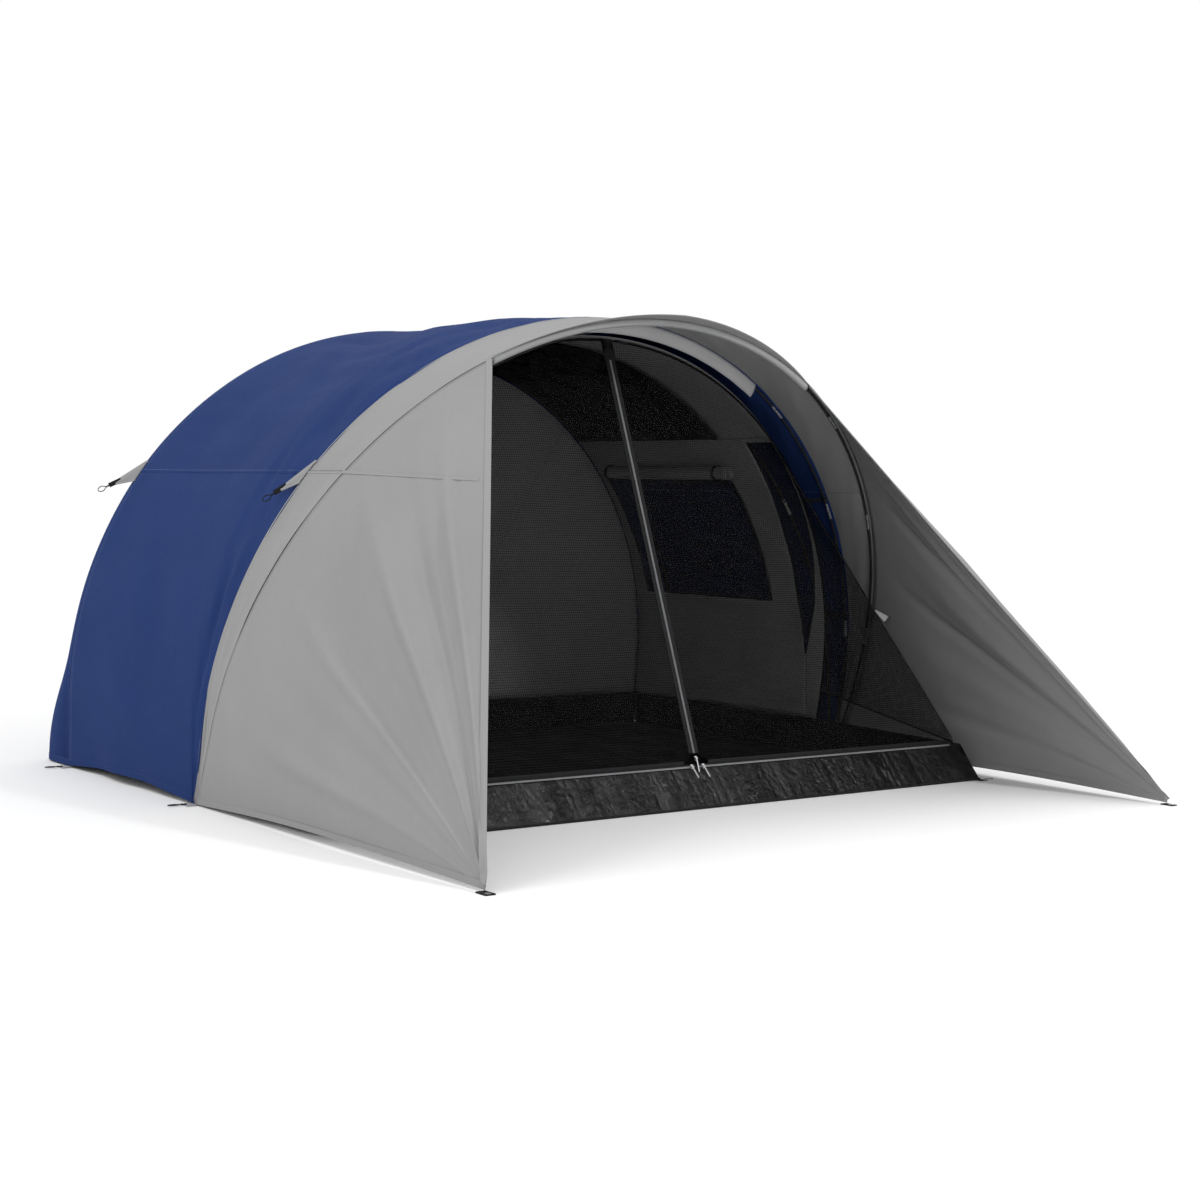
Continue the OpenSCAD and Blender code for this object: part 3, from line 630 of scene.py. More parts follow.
WING_FOLDS = ((0.10, 0.022, 0.013), (0.20, 0.030, -0.010), (0.30, 0.026, 0.016), (0.42, 0.05, -0.010),
              (0.53, 0.022, 0.010), (0.66, 0.05, -0.007), (0.80, 0.03, 0.006))


def wing_grid():
    """Right wing from the front hoop to its tip, with folds that run out of the tip."""
    b = np.linspace(0, 1, 150)
    a = np.linspace(0, 1, 90) ** 0.9
    root = over_hoop(3, mix(WING_START, 1, b)) + np.array([0, -0.003, 0])
    end = TIP + np.stack([0 * b, 0 * b, -0.018 * b], -1)
    grid = mix(root[:, None], end[:, None], a[None, :, None])
    lanes, out = np.meshgrid(b, a, indexing="ij")
    normal = normals_of(grid)
    normal *= np.sign(normal[..., 0].sum())
    gather = np.clip(out / 0.4, 0, 1) ** 1.6 * (1 - out) ** 0.85
    folds = sum(height * np.exp(-((lanes - at - 0.02 * np.sin(out * 5)) / width) ** 2)
                for at, width, height in WING_FOLDS)
    edges = np.clip(lanes / 0.03, 0, 1) * np.clip((1 - lanes) / 0.03, 0, 1)
    soft = ripple(np.stack([lanes * 5, out * 1.6, 0 * out], -1), (1, 1, 1), 7.7)
    still = np.sin(math.pi * out) * np.sin(math.pi * (lanes * 0.98 + 0.01)) ** 0.4
    grid = grid + normal * (3.0 * gather * folds * edges + 0.026 * still * soft)[..., None]
    near = np.clip((lanes - 0.9) / 0.1, 0, 1) ** 2
    grid[..., 2] += 0.02 * np.sin(math.pi * out) * near
    return grid, normal


def make_wings():
    grid, normal = wing_grid()
    for side, flip in SIDES:
        points, ups = flipped(grid, flip), flipped(normal, flip)
        fabric("porch_wing_cloth_" + side, points[:, ::flip], "grey_fabric", replaces=["porch_wing_" + side])
        trim = Pile()
        for edge in ("first_row", "last_row"):
            path, up = lane(points, ups, edge, 0.010)
            for raised in (0.0004, -0.0016):
                band(trim, path, up, 0.020, 0.0012, raised)
            stitch(threads["grey"], lane(points, ups, edge, 0.020)[0], up, raised=0.0018)
        stitch(threads["grey"], *lane(points, ups, "first_column", 0.012))
        path, up = [], []
        for j in range(points.shape[1]):
            column = points[np.argsort(points[:, j, 2]), j]
            if column[-1, 2] > SEAM_Z:
                height = SEAM_Z - WING_SEAM_DROP * j
                path.append([np.interp(height, column[:, 2], column[:, k]) for k in range(3)])
                up.append(ups[len(column) // 3, j])
        band(trim, path, up, 0.011, 0.0016, 0.0008)
        pile_piece("porch_wing_hems_" + side, trim, "grey_fabric")


# Each sleeve's hoop, its CAD node, the degrees it reaches from the top, how far it hangs, and its slot.
SLEEVES = ((0, "rear_hoop_sleeve", 55, 0.0205, "blue_fabric"),
           (1, "back_hoop_sleeve", 44, 0.0205, "blue_fabric"),
           (2, "main_hoop_sleeve", 29.5, 0.038, "sleeve_fabric"),
           (3, "front_hoop_sleeve", 29.3, 0.013, "grey_fabric"))
SLEEVE_TOP = 0.0105


def make_sleeves():
    """Flat sleeves that hang from the fly's seams and hold the hoops."""
    for i, node, half, drop, slot in SLEEVES:
        reach = math.radians(half) * HOOP_R
        s = np.linspace(-reach, reach, 120)
        lean = np.array([0, math.cos(LEANS[i]), math.sin(LEANS[i])])
        front = ((SLEEVE_TOP, 0.0012), (0.0055, 0.0062), (-0.004, 0.0078),
                 (-0.6 * drop, 0.0058), (-drop, 0.0016))
        rings = []
        for radial, along in (*front, *((radial, -along) for radial, along in front[::-1])):
            ends = s * (1 + 0.012 * (radial - SLEEVE_TOP) / 0.031)
            slack = 0.0012 * np.sin(s * 60 + radial * 300) * (along > 0)
            rings.append(on_hoop(i, ends, radial) + np.outer(along + slack, lean))
        fabric(node + "_cloth", np.stack([*rings, rings[0]], 1), slot, replaces=[node], thick=0.0006)
        tint = "blue" if slot == "blue_fabric" else "grey"
        stitch(threads[tint], on_hoop(i, s, -0.0165) - lean * 0.0052, -lean)


# ---------- groundsheet ----------

FLOOR_X, FLOOR_FRONT, FLOOR_REAR, TUB_H = 1.27, -0.83, 1.09, 0.135
SILL_TOP_Y, SILL_H = -0.735, 0.118
SEAM_H = 0.002


def make_groundsheet():
    x, y = np.meshgrid(np.linspace(-FLOOR_X, FLOOR_X, 200), np.linspace(FLOOR_FRONT, FLOOR_REAR, 150))
    flat = np.stack([x, y, 0 * x + 0.0022], -1)
    from_edge = np.minimum.reduce([FLOOR_X - abs(x), y - FLOOR_FRONT, FLOOR_REAR - y])
    waves = 0.0035 * ripple(flat, (5, 7, 1), 1.3) + 0.0015 * ripple(flat, (22, 22, 1))
    flat[..., 2] = np.maximum(flat[..., 2] + np.clip(from_edge / 0.05, 0, 1) * waves, 0.0012)
    fabric("groundsheet_cloth", flat, "groundsheet", replaces=["groundsheet_floor"])
    y, k = np.meshgrid(np.linspace(FLOOR_FRONT + 0.004, FLOOR_REAR, 170), np.linspace(0, 1, 14))
    slope = np.clip((y - FLOOR_FRONT) / (SILL_TOP_Y - FLOOR_FRONT), 0.04, 1) * SILL_H
    level = mix(SILL_H, TUB_H, np.clip((y - SILL_TOP_Y) / -SILL_TOP_Y, 0, 1))
    top = np.where(y < SILL_TOP_Y, slope, level)
    grid = np.stack([0 * y + FLOOR_X, y, SEAM_H + (top - SEAM_H) * k], -1)
    grid[..., 0] += np.sin(math.pi * k) * 0.006 * ripple(grid, (1, 6, 5), 3.0)
    for side, flip in SIDES:
        fabric("tub_wall_cloth_" + side, flipped(grid, flip), "groundsheet", replaces=["tub_wall_" + side])
    half = FLOOR_X - 0.002
    x, k = np.meshgrid(np.linspace(-half, half, 200), np.linspace(0, 1, 14))
    grid = np.stack([x, FLOOR_REAR + 0 * x, mix(SEAM_H, TUB_H, k)], -1)
    grid[..., 1] += np.sin(math.pi * k) * 0.006 * ripple(grid, (6, 1, 5), 4.0)
    fabric("tub_wall_cloth_rear", grid, "groundsheet", replaces=["tub_wall_rear"])
    x, k = np.meshgrid(np.linspace(-half, half, 640), np.linspace(0, 1, 44))
    grid = np.stack([x, mix(FLOOR_FRONT, SILL_TOP_Y, k), mix(SEAM_H, SILL_H - 0.004, k)], -1)
    normal = unit(np.array([0, -(SILL_H - 0.006), SILL_TOP_Y - FLOOR_FRONT]))
    crumples = abs(ripple(grid, (26, 18, 9), 2.0)) + 0.6 * abs(ripple(grid, (60, 40, 30), 5.0))
    drape = ripple(grid, (9, 5, 2), 7.0)
    swell = np.sin(math.pi * k) ** 0.6 * (0.006 * drape - 0.006 * crumples + 0.0025)
    grid = grid + normal * swell[..., None]
    fabric("front_sill_cloth", grid[::-1], "sill_sheet", replaces=["front_sill"])
    edge = Pile()
    x = np.linspace(-FLOOR_X, FLOOR_X, 160)
    tube(edge, np.stack([x, 0 * x + FLOOR_FRONT, 0 * x + 0.0042], -1), 0.004)
    band(edge, np.stack([x, 0 * x + SILL_TOP_Y + 0.002, 0 * x + SILL_H - 0.004], -1), normal, 0.016, 0.0015)
    pile_piece("groundsheet_front_piping", edge, "binding")


# ---------- inner tent ----------

INNER_R, INNER_Z = 1.2572, 0.25
FRONT_TILT, REAR_TILT = math.radians(8.3), math.radians(6.2)
ROOF_Z, ROOF_Y, WALL_FOOT = 1.2005, 0.1205, 0.1355
WINDOW_Y, WINDOW_Z = (0.2, 0.95), (0.585, 1.05)
CRESCENT_Z = (0.385, 1.188)
CRESCENT_FRONT = ((0.385, 0.6, 0.82, 1.0, 1.188), (0.038, -0.042, -0.098, -0.128, -0.158))
CRESCENT_REAR = ((0.385, 0.59, 0.84, 1.05, 1.188), (0.038, 0.052, 0.038, 0.005, -0.022))


def front_y(z):
    return -z * math.tan(FRONT_TILT) + 0.002


def rear_y(z):
    return FLOOR_REAR - (z - TUB_H) * math.tan(REAR_TILT) - 0.003


def tube_x(z):
    return np.sqrt(INNER_R ** 2 - np.maximum(z - INNER_Z, 0) ** 2)


def make_inner_sides():
    bands = ((WALL_FOOT, CRESCENT_Z[0], 14), (CRESCENT_Z[0], WINDOW_Z[0], 12), (*WINDOW_Z, 26),
             (WINDOW_Z[1], CRESCENT_Z[1], 8), (CRESCENT_Z[1], ROOF_Z, 2))
    z = np.unique(np.concatenate([np.linspace(*band) for band in bands]).round(5))
    stops = [front_y(z), np.interp(z, *CRESCENT_FRONT), np.interp(z, *CRESCENT_REAR),
             WINDOW_Y[0] + 0 * z, WINDOW_Y[1] + 0 * z, rear_y(z)]
    counts = (8, 7, 10, 40, 8)
    columns = [mix(a[:, None], b[:, None], np.arange(n) / n) for a, b, n in zip(stops, stops[1:], counts)]
    y = np.concatenate([*columns, stops[-1][:, None]], 1)
    zone = np.repeat(np.arange(5), counts)
    middle = (z[1:] + z[:-1]) / 2
    z = z[:, None] + 0 * y
    grid = np.stack([tube_x(z), y, z], -1)
    fade = (np.clip((z - WALL_FOOT) / 0.08, 0, 1) * np.clip((ROOF_Z - z) / 0.05, 0, 1)
            * np.clip((y - front_y(z)) / 0.06, 0, 1) * np.clip((rear_y(z) - y) / 0.06, 0, 1))
    slack = 0.011 * ripple(grid, (0, 4.5, 1.6), 3.0) + 0.006 * ripple(grid, (0, 9, 7), 6.0)
    grid[..., 0] -= fade * (slack + 0.002)
    in_window = (zone == 3) & ((middle > WINDOW_Z[0]) & (middle < WINDOW_Z[1]))[:, None]
    in_crescent = (zone == 1) & (middle < CRESCENT_Z[1])[:, None]
    window_rows = slice(np.flatnonzero(in_window.any(1))[0], np.flatnonzero(in_window.any(1))[-1] + 2)
    window_columns = slice(sum(counts[:3]), sum(counts[:4]) + 1)
    crescent_rows = slice(np.flatnonzero(middle > CRESCENT_Z[0])[0],
                          np.flatnonzero(in_crescent.any(1))[-1] + 2)
    crescent_columns = slice(counts[0], counts[0] + counts[1] + 1)
    window, crescent = grid[window_rows, window_columns], grid[crescent_rows, crescent_columns]
    for side, flip in SIDES:
        fabric("inner_wall_cloth_" + side, flipped(grid, flip), "inner_fabric",
               replaces=["inner_side_wall_" + side], keep=~(in_window | in_crescent))
        for node, part in (("window_mesh_", window), ("crescent_mesh_", crescent)):
            fabric(node + "net_" + side, flipped(part, flip), "window_mesh", replaces=[node + side],
                   uv=part[..., 1:])
        tape = Pile()
        for part, top in ((window, True), (crescent, False)):
            inward = np.array([-flip, 0, 0])
            edges = [part[:, 0], part[:, -1], part[-1]] + ([part[0]] if top else [])
            for edge in edges:
                band(tape, flipped(edge, flip), inward, 0.006, 0.0014, 0.0004)
        pile_piece("window_edge_tapes_" + side, tape, "binding")


def make_inner_roof_and_rear():
    limit = math.acos((ROOF_Z + 0.0005 - INNER_Z) / INNER_R)
    a = np.linspace(-limit, limit, 110)
    for name, slot, node, front, rear, rows in (
            ("inner_front_band_cloth", "inner_fabric", "inner_front_band", None, ROOF_Y - 0.0005, 8),
            ("inner_roof_net", "roof_mesh", "inner_roof_mesh", ROOF_Y, None, 60)):
        angle, k = np.meshgrid(a, np.linspace(0, 1, rows))
        z = INNER_Z + INNER_R * np.cos(angle)
        y = mix(front_y(z) if front is None else front, rear_y(z) if rear is None else rear, k)
        out = np.stack([np.sin(angle), 0 * angle, np.cos(angle)], -1)
        grid = np.stack([INNER_R * np.sin(angle), y, z], -1)
        fade = np.sin(math.pi * k) ** 0.5 * np.clip((limit - abs(angle)) / 0.05, 0, 1) * (front is not None)
        sag = 0.010 + 0.012 * abs(ripple(grid, (4, 9, 1), 2.0)) + 0.006 * ripple(grid, (14, 20, 4), 6.0)
        fabric(name, grid - out * (fade * sag)[..., None], slot, replaces=[node])
    h = INNER_Z + INNER_R * np.sin(np.linspace(math.asin((WALL_FOOT - INNER_Z) / INNER_R), 1.565, 60))
    s, h = np.meshgrid(np.linspace(-1, 1, 120), h)
    x = s * tube_x(h)
    up = h - TUB_H
    grid = np.stack([x, FLOOR_REAR - up * math.sin(REAR_TILT), TUB_H + up * math.cos(REAR_TILT)], -1)
    fade = np.clip((1 - abs(s)) / 0.06, 0, 1) * np.clip(up / 0.1, 0, 1)
    slack = 0.012 * ripple(grid, (3.2, 0, 1.5), 4.0) + 0.006 * ripple(grid, (8, 0, 6), 8.0)
    grid[..., 1] -= fade * (slack + 0.004)
    fabric("inner_rear_wall_cloth", grid, "inner_fabric", replaces=["inner_rear_wall"])


def leaning_point(x, h, off=0.0):
    """Point in the plane of the inner tent's front edge."""
    return np.stack([x, -h * math.sin(FRONT_TILT) - off * math.cos(FRONT_TILT),
                     h * math.cos(FRONT_TILT) - off * math.sin(FRONT_TILT)], -1)


def make_binding_and_straps():
    leg = INNER_Z / math.cos(FRONT_TILT)
    a = np.linspace(-math.pi / 2, math.pi / 2, 200)
    arch = leaning_point(INNER_R * np.sin(a), leg + INNER_R * np.cos(a), 0.0045)
    h = np.linspace(TUB_H + 0.003, leg - 0.012, 10)
    left, right = (leaning_point(0 * h + side * INNER_R, h, 0.0045) for side in (-1, 1))
    pile = Pile()
    tube(pile, np.concatenate([left, arch, right[::-1]]), 0.004, 10)
    pile_piece("inner_front_piping", pile, "binding", replaces=["inner_front_binding"], smooth=True)
    straps = Pile()
    for z in (0.545, 0.985):
        rise = z / math.cos(LEANS[2]) - LEGS[2]
        a = np.array([tube_x(np.array(z)) + 0.001, -z * math.tan(FRONT_TILT) - 0.004, z])
        b = np.array([math.sqrt(HOOP_R ** 2 - rise ** 2) - 0.0175, -z * math.tan(LEANS[2]), z])
        t = np.linspace(0, 1, 12)[:, None]
        path = mix(a, b, t) + np.array([0, 0, -0.004]) * np.sin(math.pi * t)
        for side, flip in SIDES:
            band(straps, flipped(path, flip), FORWARD, 0.014, 0.0016, -0.0008)
            for sewn in (slice(0, 4), slice(8, 12)):
                band(straps, flipped(path[sewn], flip), FORWARD, 0.013, 0.0012, 0.0010)
                stitch(threads["black"], flipped(path[sewn][1:3], flip), FORWARD, 0.004, raised=0.0022)
    pile_piece("inner_hook_webbing", straps, "black_webbing", replaces=["inner_hook_straps"])


BLIND_R, BLIND_Z, BLIND_Y = 0.027, 1.078, (0.14, 0.89)
BLIND_TURNS = 6
LOOPS_Y = (0.207, 0.857)


def make_blinds():
    """Rolled blinds, each a spiral of cloth in two loops."""
    reach = INNER_R + 0.0008 - 0.0016 - BLIND_R - 0.003
    x = math.sqrt(reach ** 2 - (BLIND_Z - INNER_Z) ** 2)
    turn = np.linspace(0, BLIND_TURNS * 2 * math.pi, BLIND_TURNS * 30)
    y = np.linspace(*BLIND_Y, 60)
    turn, y = np.meshgrid(turn, y)
    outermost = turn / turn.max()
    radius = 0.004 + (BLIND_R - 0.0045) * outermost
    dents = abs(ripple(np.stack([np.cos(turn), y * 9, np.sin(turn)], -1), (1, 1, 1)))
    waist = sum(np.exp(-((y - loop_y) / 0.02) ** 2) for loop_y in LOOPS_Y)
    radius = (radius - 0.0018 * outermost ** 6 * dents) * (1 - 0.05 * waist)
    end = 0.006 * (1 - outermost) * np.sign(y - np.mean(BLIND_Y)) * (abs(y - np.mean(BLIND_Y)) > 0.37)
    grid = np.stack([x + radius * np.cos(turn), y - end, BLIND_Z + radius * np.sin(turn)], -1)
    loops = Pile()
    for side, flip in SIDES:
        fabric("window_blind_roll_" + side, flipped(grid, flip), "blind_fabric", thick=0.0006,
               replaces=["window_blinds"] if flip > 0 else ())
        a = np.linspace(0, 2 * math.pi, 49)
        for loop_y in LOOPS_Y:
            out = np.stack([np.cos(a), 0 * a, np.sin(a)], -1)
            ring = np.array([x, loop_y, BLIND_Z]) + out * (BLIND_R + 0.0003)
            band(loops, flipped(ring, flip), flipped(out, flip), 0.014, 0.0014)
            toggle = np.array([x - BLIND_R - 0.004, loop_y, BLIND_Z - 0.004])
            bar = toggle + np.outer(np.linspace(-0.013, 0.013, 5), [0, 0, 1])
            tube(loops, flipped(bar, flip), 0.003, start_normal=(1, 0, 0))
    pile_piece("blind_loop_bands", loops, "black_webbing", replaces=["blind_loops"])


# ---------- front mesh and door ----------

DOOR_AT = np.array([0, SILL_TOP_Y, SILL_H])
DOOR_UP = unit(np.array([0, 0.525, 1.387]))
DOOR_OUT = np.array([0, -DOOR_UP[2], DOOR_UP[1]])
SILL_CORNER = np.array([1.24, -0.735, 0.124])
SEAM_ANGLE = math.radians(36)
ZIP_FOOT, ZIP_TOP = 0.045, 1.408
LEAF_TOP = 1.4245


def door_point(x, v, n=0.0):
    x, v, n = (np.asarray(value, float)[..., None] for value in (x, v, n))
    return DOOR_AT + x * ACROSS + v * DOOR_UP + n * DOOR_OUT


def front_edge(a):
    z = INNER_Z + 1.25 * np.cos(a)
    return np.stack([1.25 * np.sin(a), -z * math.tan(FRONT_TILT) - 0.010, z], -1)


def make_front_meshes():
    for name, first, last, lanes in (("front_mesh", 1.2, 36.0, 60), ("side_mesh", 36.0, 90.0, 80)):
        a = np.radians(np.linspace(first, last, lanes))
        a, k = np.meshgrid(a, np.linspace(0, 0.985, 60), indexing="ij")
        edge = front_edge(a)
        grid = mix(edge, SILL_CORNER, k[..., None])
        across = (a - a.min()) / (a.max() - a.min())
        normal = normals_of(grid)
        free = np.sin(math.pi * k) * np.sin(math.pi * across)
        grid = grid + normal * (free * 0.008 * ripple(grid, (3, 3, 2), 5.0))[..., None]
        if name == "front_mesh":
            v = mix(LEAF_TOP + 0.02, 0.009, k[0] / 0.985)
            grid = np.concatenate([door_point(leaf_edge(v), v, 0.0012)[None], grid])
            uv = np.stack([grid[..., 0], (grid - DOOR_AT) @ DOOR_UP], -1)
        else:
            uv = np.stack([(grid[..., 1] * 0.99 + grid[..., 0] * 0.1), grid[..., 2]], -1)
        for side, flip in SIDES:
            node = name + "_" + side
            fabric(name + "_net_" + side, flipped(grid, flip), "door_mesh", replaces=[node], uv=uv)
    k = np.linspace(0, 0.985, 60)[:, None]
    seam = mix(front_edge(SEAM_ANGLE), SILL_CORNER, k)
    foot = mix(front_edge(np.array(math.pi / 2)), SILL_CORNER, k)
    pile = Pile()
    for side, flip in SIDES:
        out = flipped(unit(np.array([0.45, -0.85, 0.3])), flip)
        band(pile, flipped(seam, flip), out, 0.009, 0.0016, -0.0002)
        stitch(threads["black"], flipped(seam, flip), out, 0.006, raised=0.0014)
        band(pile, flipped(foot, flip), out, 0.012, 0.0016, -0.0008)
    v = np.linspace(1.40, 1.476, 8)
    band(pile, door_point(0 * v, v, 0.002), DOOR_OUT, 0.05, 0.0016)
    pile_piece("mesh_seam_tapes", pile, "binding")


def leaf_edge(v):
    return 1.2275 - (v - 0.009) * 0.8554


def leaf_grid(rows=70, columns=50):
    v, s = np.meshgrid(np.linspace(0.009, LEAF_TOP, rows), np.linspace(0, 1, columns), indexing="ij")
    inner = 0.006 + np.maximum(0, ZIP_FOOT - v) * 1.1667
    x = mix(inner, leaf_edge(v), s)
    free = np.sin(math.pi * np.clip(s, 0, 1)) * np.sin(math.pi * (v - 0.009) / (LEAF_TOP - 0.009))
    n = free * (0.006 * ripple(np.stack([x, v, 0 * v], -1), (2.5, 2.5, 1), 4.0) - 0.003)
    return x, v, n


def teeth(pile, place, start, stop, near, far, pitch=0.003, shift=0.0):
    """Teeth of a zip coil from start to stop along place's second direction, between near and far."""
    faces = [(0, 1, 2, 3), (7, 6, 5, 4), (0, 4, 5, 1), (1, 5, 6, 2), (2, 6, 7, 3), (3, 7, 4, 0)]
    for at in np.arange(start + shift, stop, pitch):
        corners = [(across, at + along, out) for out in (-0.0012, 0.0013)
                   for across, along in ((near, -0.0009), (far, -0.0006), (far, 0.0006), (near, 0.0009))]
        pile.put([place(*corner) for corner in corners], faces)


def make_doors():
    x, v, n = leaf_grid()
    for side, flip in SIDES:
        body = side + "_leaf"
        fabric("door_leaf_net_" + side, flipped(door_point(x, v, n), flip), "door_mesh", body=body,
               replaces=["door_leaf_" + side], uv=np.stack([x * flip, v], -1))
        coil, tape = Pile(), Pile()
        teeth(coil, lambda across, along, out: door_point(flip * across, along, out), ZIP_FOOT, ZIP_TOP,
              0.0006, 0.0038, shift=0.0015 if flip > 0 else 0)
        line = np.linspace(ZIP_FOOT, ZIP_TOP, 60)
        band(tape, door_point(flip * 0.0125 + 0 * line, line), DOOR_OUT, 0.0150, 0.0014, -0.0007)
        hem_x, hem_v = np.linspace(0.052, 1.2, 80), 0.0145
        band(tape, door_point(flip * hem_x, hem_v + 0 * hem_x), DOOR_OUT, 0.011, 0.0014, -0.0007)
        pile_piece("door_zip_coil_" + side, coil, "zip_coil", body=body, replaces=["door_zip_" + side])
        pile_piece("door_zip_tape_" + side, tape, "black_webbing", body=body)
    coil, tape = Pile(), Pile()
    for side, flip in SIDES:
        teeth(coil, lambda up, along, out: door_point(flip * along, up, out), 0.012, 1.212, -0.0028, 0.0028)
        line = np.linspace(0.004, 1.226, 90)
        band(tape, door_point(flip * line, 0 * line), DOOR_OUT, 0.018, 0.0008, -0.0022)
    pile_piece("sill_zip_coil", coil, "zip_coil", replaces=["sill_zip"])
    pile_piece("sill_zip_tape", tape, "black_webbing")


def aimed(way):
    """Axes with the first along way and the third as near upright as it can be."""
    way = unit(np.asarray(way, float))
    flat = math.hypot(way[0], way[1])
    return way, np.array([-way[1] / flat, way[0] / flat, 0]), np.array(
        [-way[2] * way[0] / flat, -way[2] * way[1] / flat, flat])


def make_tiebacks():
    root = mix(front_edge(SEAM_ANGLE), SILL_CORNER, 0.59) + np.array([0.0016, -0.0036, 0.0008])
    way, side_way, up = aimed([0.62, -0.5, -0.6])
    t, s = np.meshgrid(np.linspace(0.001, 0.0535, 16), np.linspace(-1, 1, 9), indexing="ij")
    half = 0.004 + 0.008 * (t - 0.008) / 0.045
    curl = 0.0022 * (1 - s ** 2) * np.sin(t * 60)
    grid = root + t[..., None] * way + (half * s)[..., None] * up + curl[..., None] * side_way
    for side, flip in SIDES:
        fabric("tieback_tab_" + side, flipped(grid, flip), "grey_webbing", thick=0.0016,
               replaces=["tieback_tabs"] if flip > 0 else ())


# ---------- guy points, tabs and cord loops ----------

GUYS = ((0, (0.74, 0.5, -0.45)), (2, (0.62, 0.55, -0.56)))
GUY_L, WEB_L = 0.088, 0.026
CORD_D = 0.003
LOOP_L, LOOP_Z = 0.062, 0.0042
EYE_HALF = 0.0085


def guy_root(i):
    h = SEAM_Z / math.cos(LEANS[i])
    x = math.sqrt((HOOP_R + 0.015) ** 2 - (h - LEGS[i]) ** 2)
    rise = unit(np.array([(LEGS[i] - h) / x, -math.sin(LEANS[i]), math.cos(LEANS[i])]))
    return np.array([x, FEET_Y[i] - SEAM_Z * math.tan(LEANS[i]), SEAM_Z]), rise


def make_guys():
    webbing = Pile()
    for number, (i, pull) in enumerate(GUYS):
        root, rise = guy_root(i)
        way, side_way, up = aimed(pull)
        t, s = np.meshgrid(np.linspace(0, 1, 18), np.linspace(-1, 1, 11), indexing="ij")
        half = mix(0.042, 0.009, t)
        normal = unit(np.cross(way, rise))
        dish = 0.004 * np.sin(math.pi * t) * (1 - s ** 2)
        grid = (root - 0.004 * way + (t * (GUY_L + 0.004))[..., None] * way + (half * s)[..., None] * rise
                + dish[..., None] * normal)
        path = root + np.outer(np.linspace(GUY_L - 0.014, GUY_L + 0.005 + WEB_L, 12), way)
        for side, flip in SIDES:
            fabric("guy_patch_%d_%s" % (number, side), flipped(grid, flip), "grey_fabric", thick=0.0014,
                   replaces=["guy_patches"] if (number, flip) == (0, 1) else ())
            hems = Pile()
            for edge in (0, -1):
                band(hems, flipped(grid[:, edge], flip), flipped(normal, flip), 0.008, 0.0026, -0.0013)
            pile_piece("guy_patch_hems_%d_%s" % (number, side), hems, "grey_fabric")
            out = flipped(side_way, flip)
            band(webbing, flipped(path, flip), out, 0.016, 0.0024, -0.0012)
            name = "guy_cord_%d_%s" % (number, side)
            cord_loop(name, path[-1] - 0.004 * way, way, up, side_way, 0.046, flip)
    pile_piece("guy_webbing_straps", webbing, "black_webbing", replaces=["guy_webbing"])


def cord_loop(name, start_at, way, across, out, length, flip, slot="black_cord"):
    """A loop of cord: two strands twist in its neck, then part around an eye."""
    t = np.linspace(0, 1, 20)
    neck, widest = 0.34, 0.64
    twist = np.where(t < neck, 2 * math.pi * (t - neck) / neck, 0)
    open_share = np.clip((t - neck) / (widest - neck), 0, 1)
    half = mix(CORD_D * 0.62, EYE_HALF, open_share ** 2 * (3 - 2 * open_share))
    eye = EYE_HALF * np.sqrt(np.maximum(0, 1 - ((t - widest) / (1 - widest)) ** 2))
    half = np.where(t > widest, eye, half)
    strand = half[:, None] * (np.cos(twist)[:, None] * across + np.sin(twist)[:, None] * out)
    axis = start_at + np.outer(t * length, way)
    path = flipped(np.concatenate([axis + strand, (axis - strand)[-2::-1]]), flip) + SHIFT
    curve = bpy.data.curves.new(name, "CURVE")
    curve.dimensions = "3D"
    curve.bevel_depth, curve.bevel_resolution = CORD_D / 2, 3
    curve.use_fill_caps = True
    spline = curve.splines.new("POLY")
    spline.points.add(len(path) - 1)
    for point, at in zip(spline.points, path):
        point.co = (*at, 1)
    curve.materials.append(MATERIALS[slot])
    loop = bpy.data.objects.new(name, curve)
    bpy.context.collection.objects.link(loop)
    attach(loop, "root")
    if name == "foot_cord_0_right":
        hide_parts("cord_loops")


def make_tabs_and_loops():
    straps, corners = Pile(), Pile()
    for number, y in enumerate((0, 0.925)):
        x = np.linspace(FLOOR_X + 0.001, HOOP_R + 0.045, 16)
        path = np.stack([x, y + 0 * x, 0.0004 + 0.0006 * abs(np.sin(x * 40))], -1)
        for side, flip in SIDES:
            band(straps, flipped(path, flip), UP, 0.050, 0.0016)
            for offset in (-0.021, 0.021):
                stitch(threads["grey"], flipped(path + BACK * offset, flip), UP, raised=0.0018)
            name = "foot_cord_%d_%s" % (number, side)
            cord_loop(name, (HOOP_R + 0.036, y, LOOP_Z), ACROSS, BACK, UP, LOOP_L, flip)
    slant = np.array([math.cos(math.radians(60)), math.sin(math.radians(60)), 0])
    for side, flip in SIDES:
        for y, way in ((FLOOR_FRONT, -1), (FLOOR_REAR, 1)):
            run = np.linspace(0, 0.024, 6)
            path = np.stack([0 * run + FLOOR_X - 0.002, y + way * run, 0 * run + 0.0004], -1)
            band(corners, flipped(path, flip), UP, 0.034, 0.0015)
        name = "rear_corner_cord_" + side
        cord_loop(name, (1.270, 1.108, LOOP_Z), slant, np.cross(UP, slant), UP, LOOP_L, flip)
        name = "front_corner_cord_" + side
        cord_loop(name, (1.283, -0.842, LOOP_Z), ACROSS, BACK, UP, 0.044, flip, "grey_webbing")
    pile_piece("foot_webbing_straps", straps, "grey_webbing", replaces=["hoop_foot_webbing"])
    pile_piece("floor_corner_webbing", corners, "black_webbing", replaces=["floor_corner_tabs"])


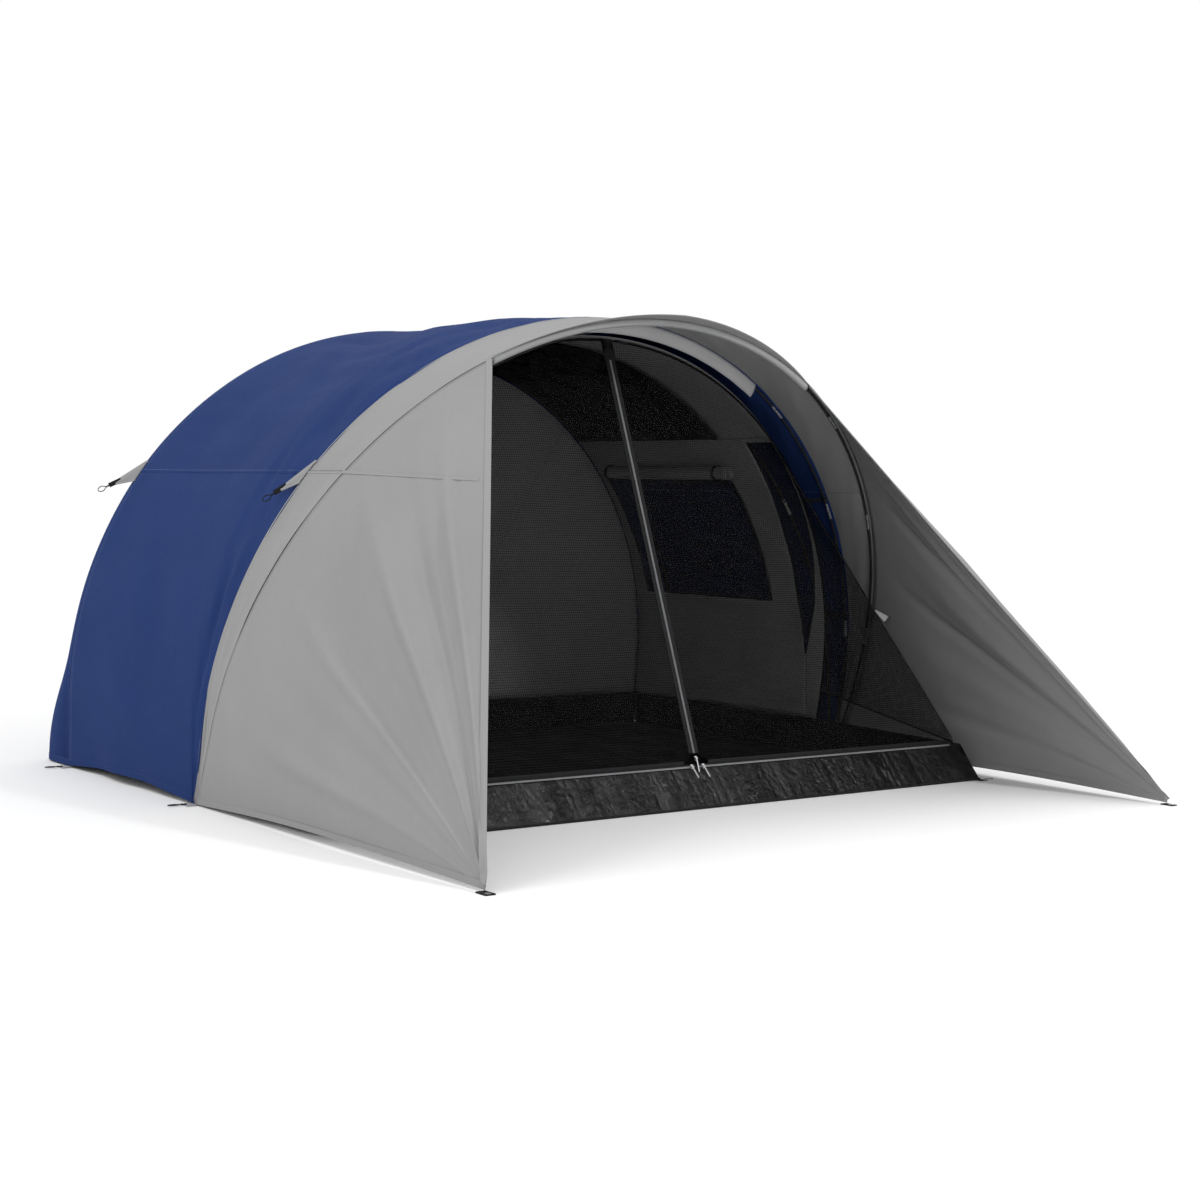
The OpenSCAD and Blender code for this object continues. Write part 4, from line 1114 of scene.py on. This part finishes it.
def ring_section(pile, levels, flip):
    """Rings of points joined into one closed band."""
    grid = np.stack(levels, 1)
    grid = np.concatenate([grid, grid[:1]])
    pile.put(flipped(grid, flip), quads(*grid.shape[:2]))


def make_tip_tabs():
    """Webbing tabs with a metal eyelet at the wing tips."""
    width, length, before, thick, bore = 0.030, 0.046, 0.013, 0.0028, 0.0052
    middle = np.array([TIP[0] + 0.002, -1.545, 0.0002])
    a = np.linspace(0, 2 * math.pi, 65)[:-1]
    circle = np.stack([np.cos(a), np.sin(a), 0 * a], -1)
    hole = circle * bore
    box = hole / np.abs(hole / np.array([width / 2, before, 1])).max(axis=1, keepdims=True)
    box[:, 1] = np.where(box[:, 1] > 0, box[:, 1] * (length - before) / before, box[:, 1])
    rings = [middle + mix(hole, box, k) for k in (0, 0.3, 1)]
    rim = ((bore, 0.0), (bore, 0.0034), (0.0068, 0.0038), (0.0088, 0.0030))
    tabs, eyelets = Pile(), Pile()
    for _, flip in SIDES:
        ring_section(tabs, [*rings, *(ring + UP * thick for ring in rings[::-1]), rings[0]], flip)
        ring_section(eyelets, [middle + circle * r + UP * z for r, z in rim], flip)
    pile_piece("wing_tip_webbing", tabs, "black_webbing", replaces=["wing_tip_tabs"])
    pile_piece("wing_tip_eyelets", eyelets, "ferrule_steel")


make_camera()
make_light()
for name, shown in frame["nodes"].items():
    for slot in shown.material_slots:
        slot.link = "OBJECT"
        slot.material = MATERIALS[SLOT_OF[name]]
make_main_panel()
make_rear_panel()
make_canopy()
make_wings()
make_sleeves()
make_groundsheet()
make_inner_sides()
make_inner_roof_and_rear()
make_binding_and_straps()
make_blinds()
make_front_meshes()
make_doors()
make_tiebacks()
make_guys()
make_tabs_and_loops()
make_tip_tabs()
for tint, slot in (("blue", "blue_fabric"), ("grey", "grey_fabric"), ("black", "black_webbing")):
    pile_piece("stitches_" + tint, threads[tint], slot, material=tint + "_thread")

FLOOR_HALF, FLOOR_Z = 40.0, -0.0005
floor_mesh = bpy.data.meshes.new("floor")
corners = [(x * FLOOR_HALF, y * FLOOR_HALF, FLOOR_Z) for x, y in ((-1, -1), (1, -1), (1, 1), (-1, 1))]
floor_mesh.from_pydata(corners, [], [(0, 1, 2, 3)])
floor = bpy.data.objects.new("floor", floor_mesh)
bpy.context.collection.objects.link(floor)
floor_tree, floor_shader = start("pale_floor")
put(floor_tree, floor_shader, {"Base Color": (0.86, 0.86, 0.86, 1), "Roughness": 0.9})
floor_mesh.materials.append(MATERIALS["pale_floor"])
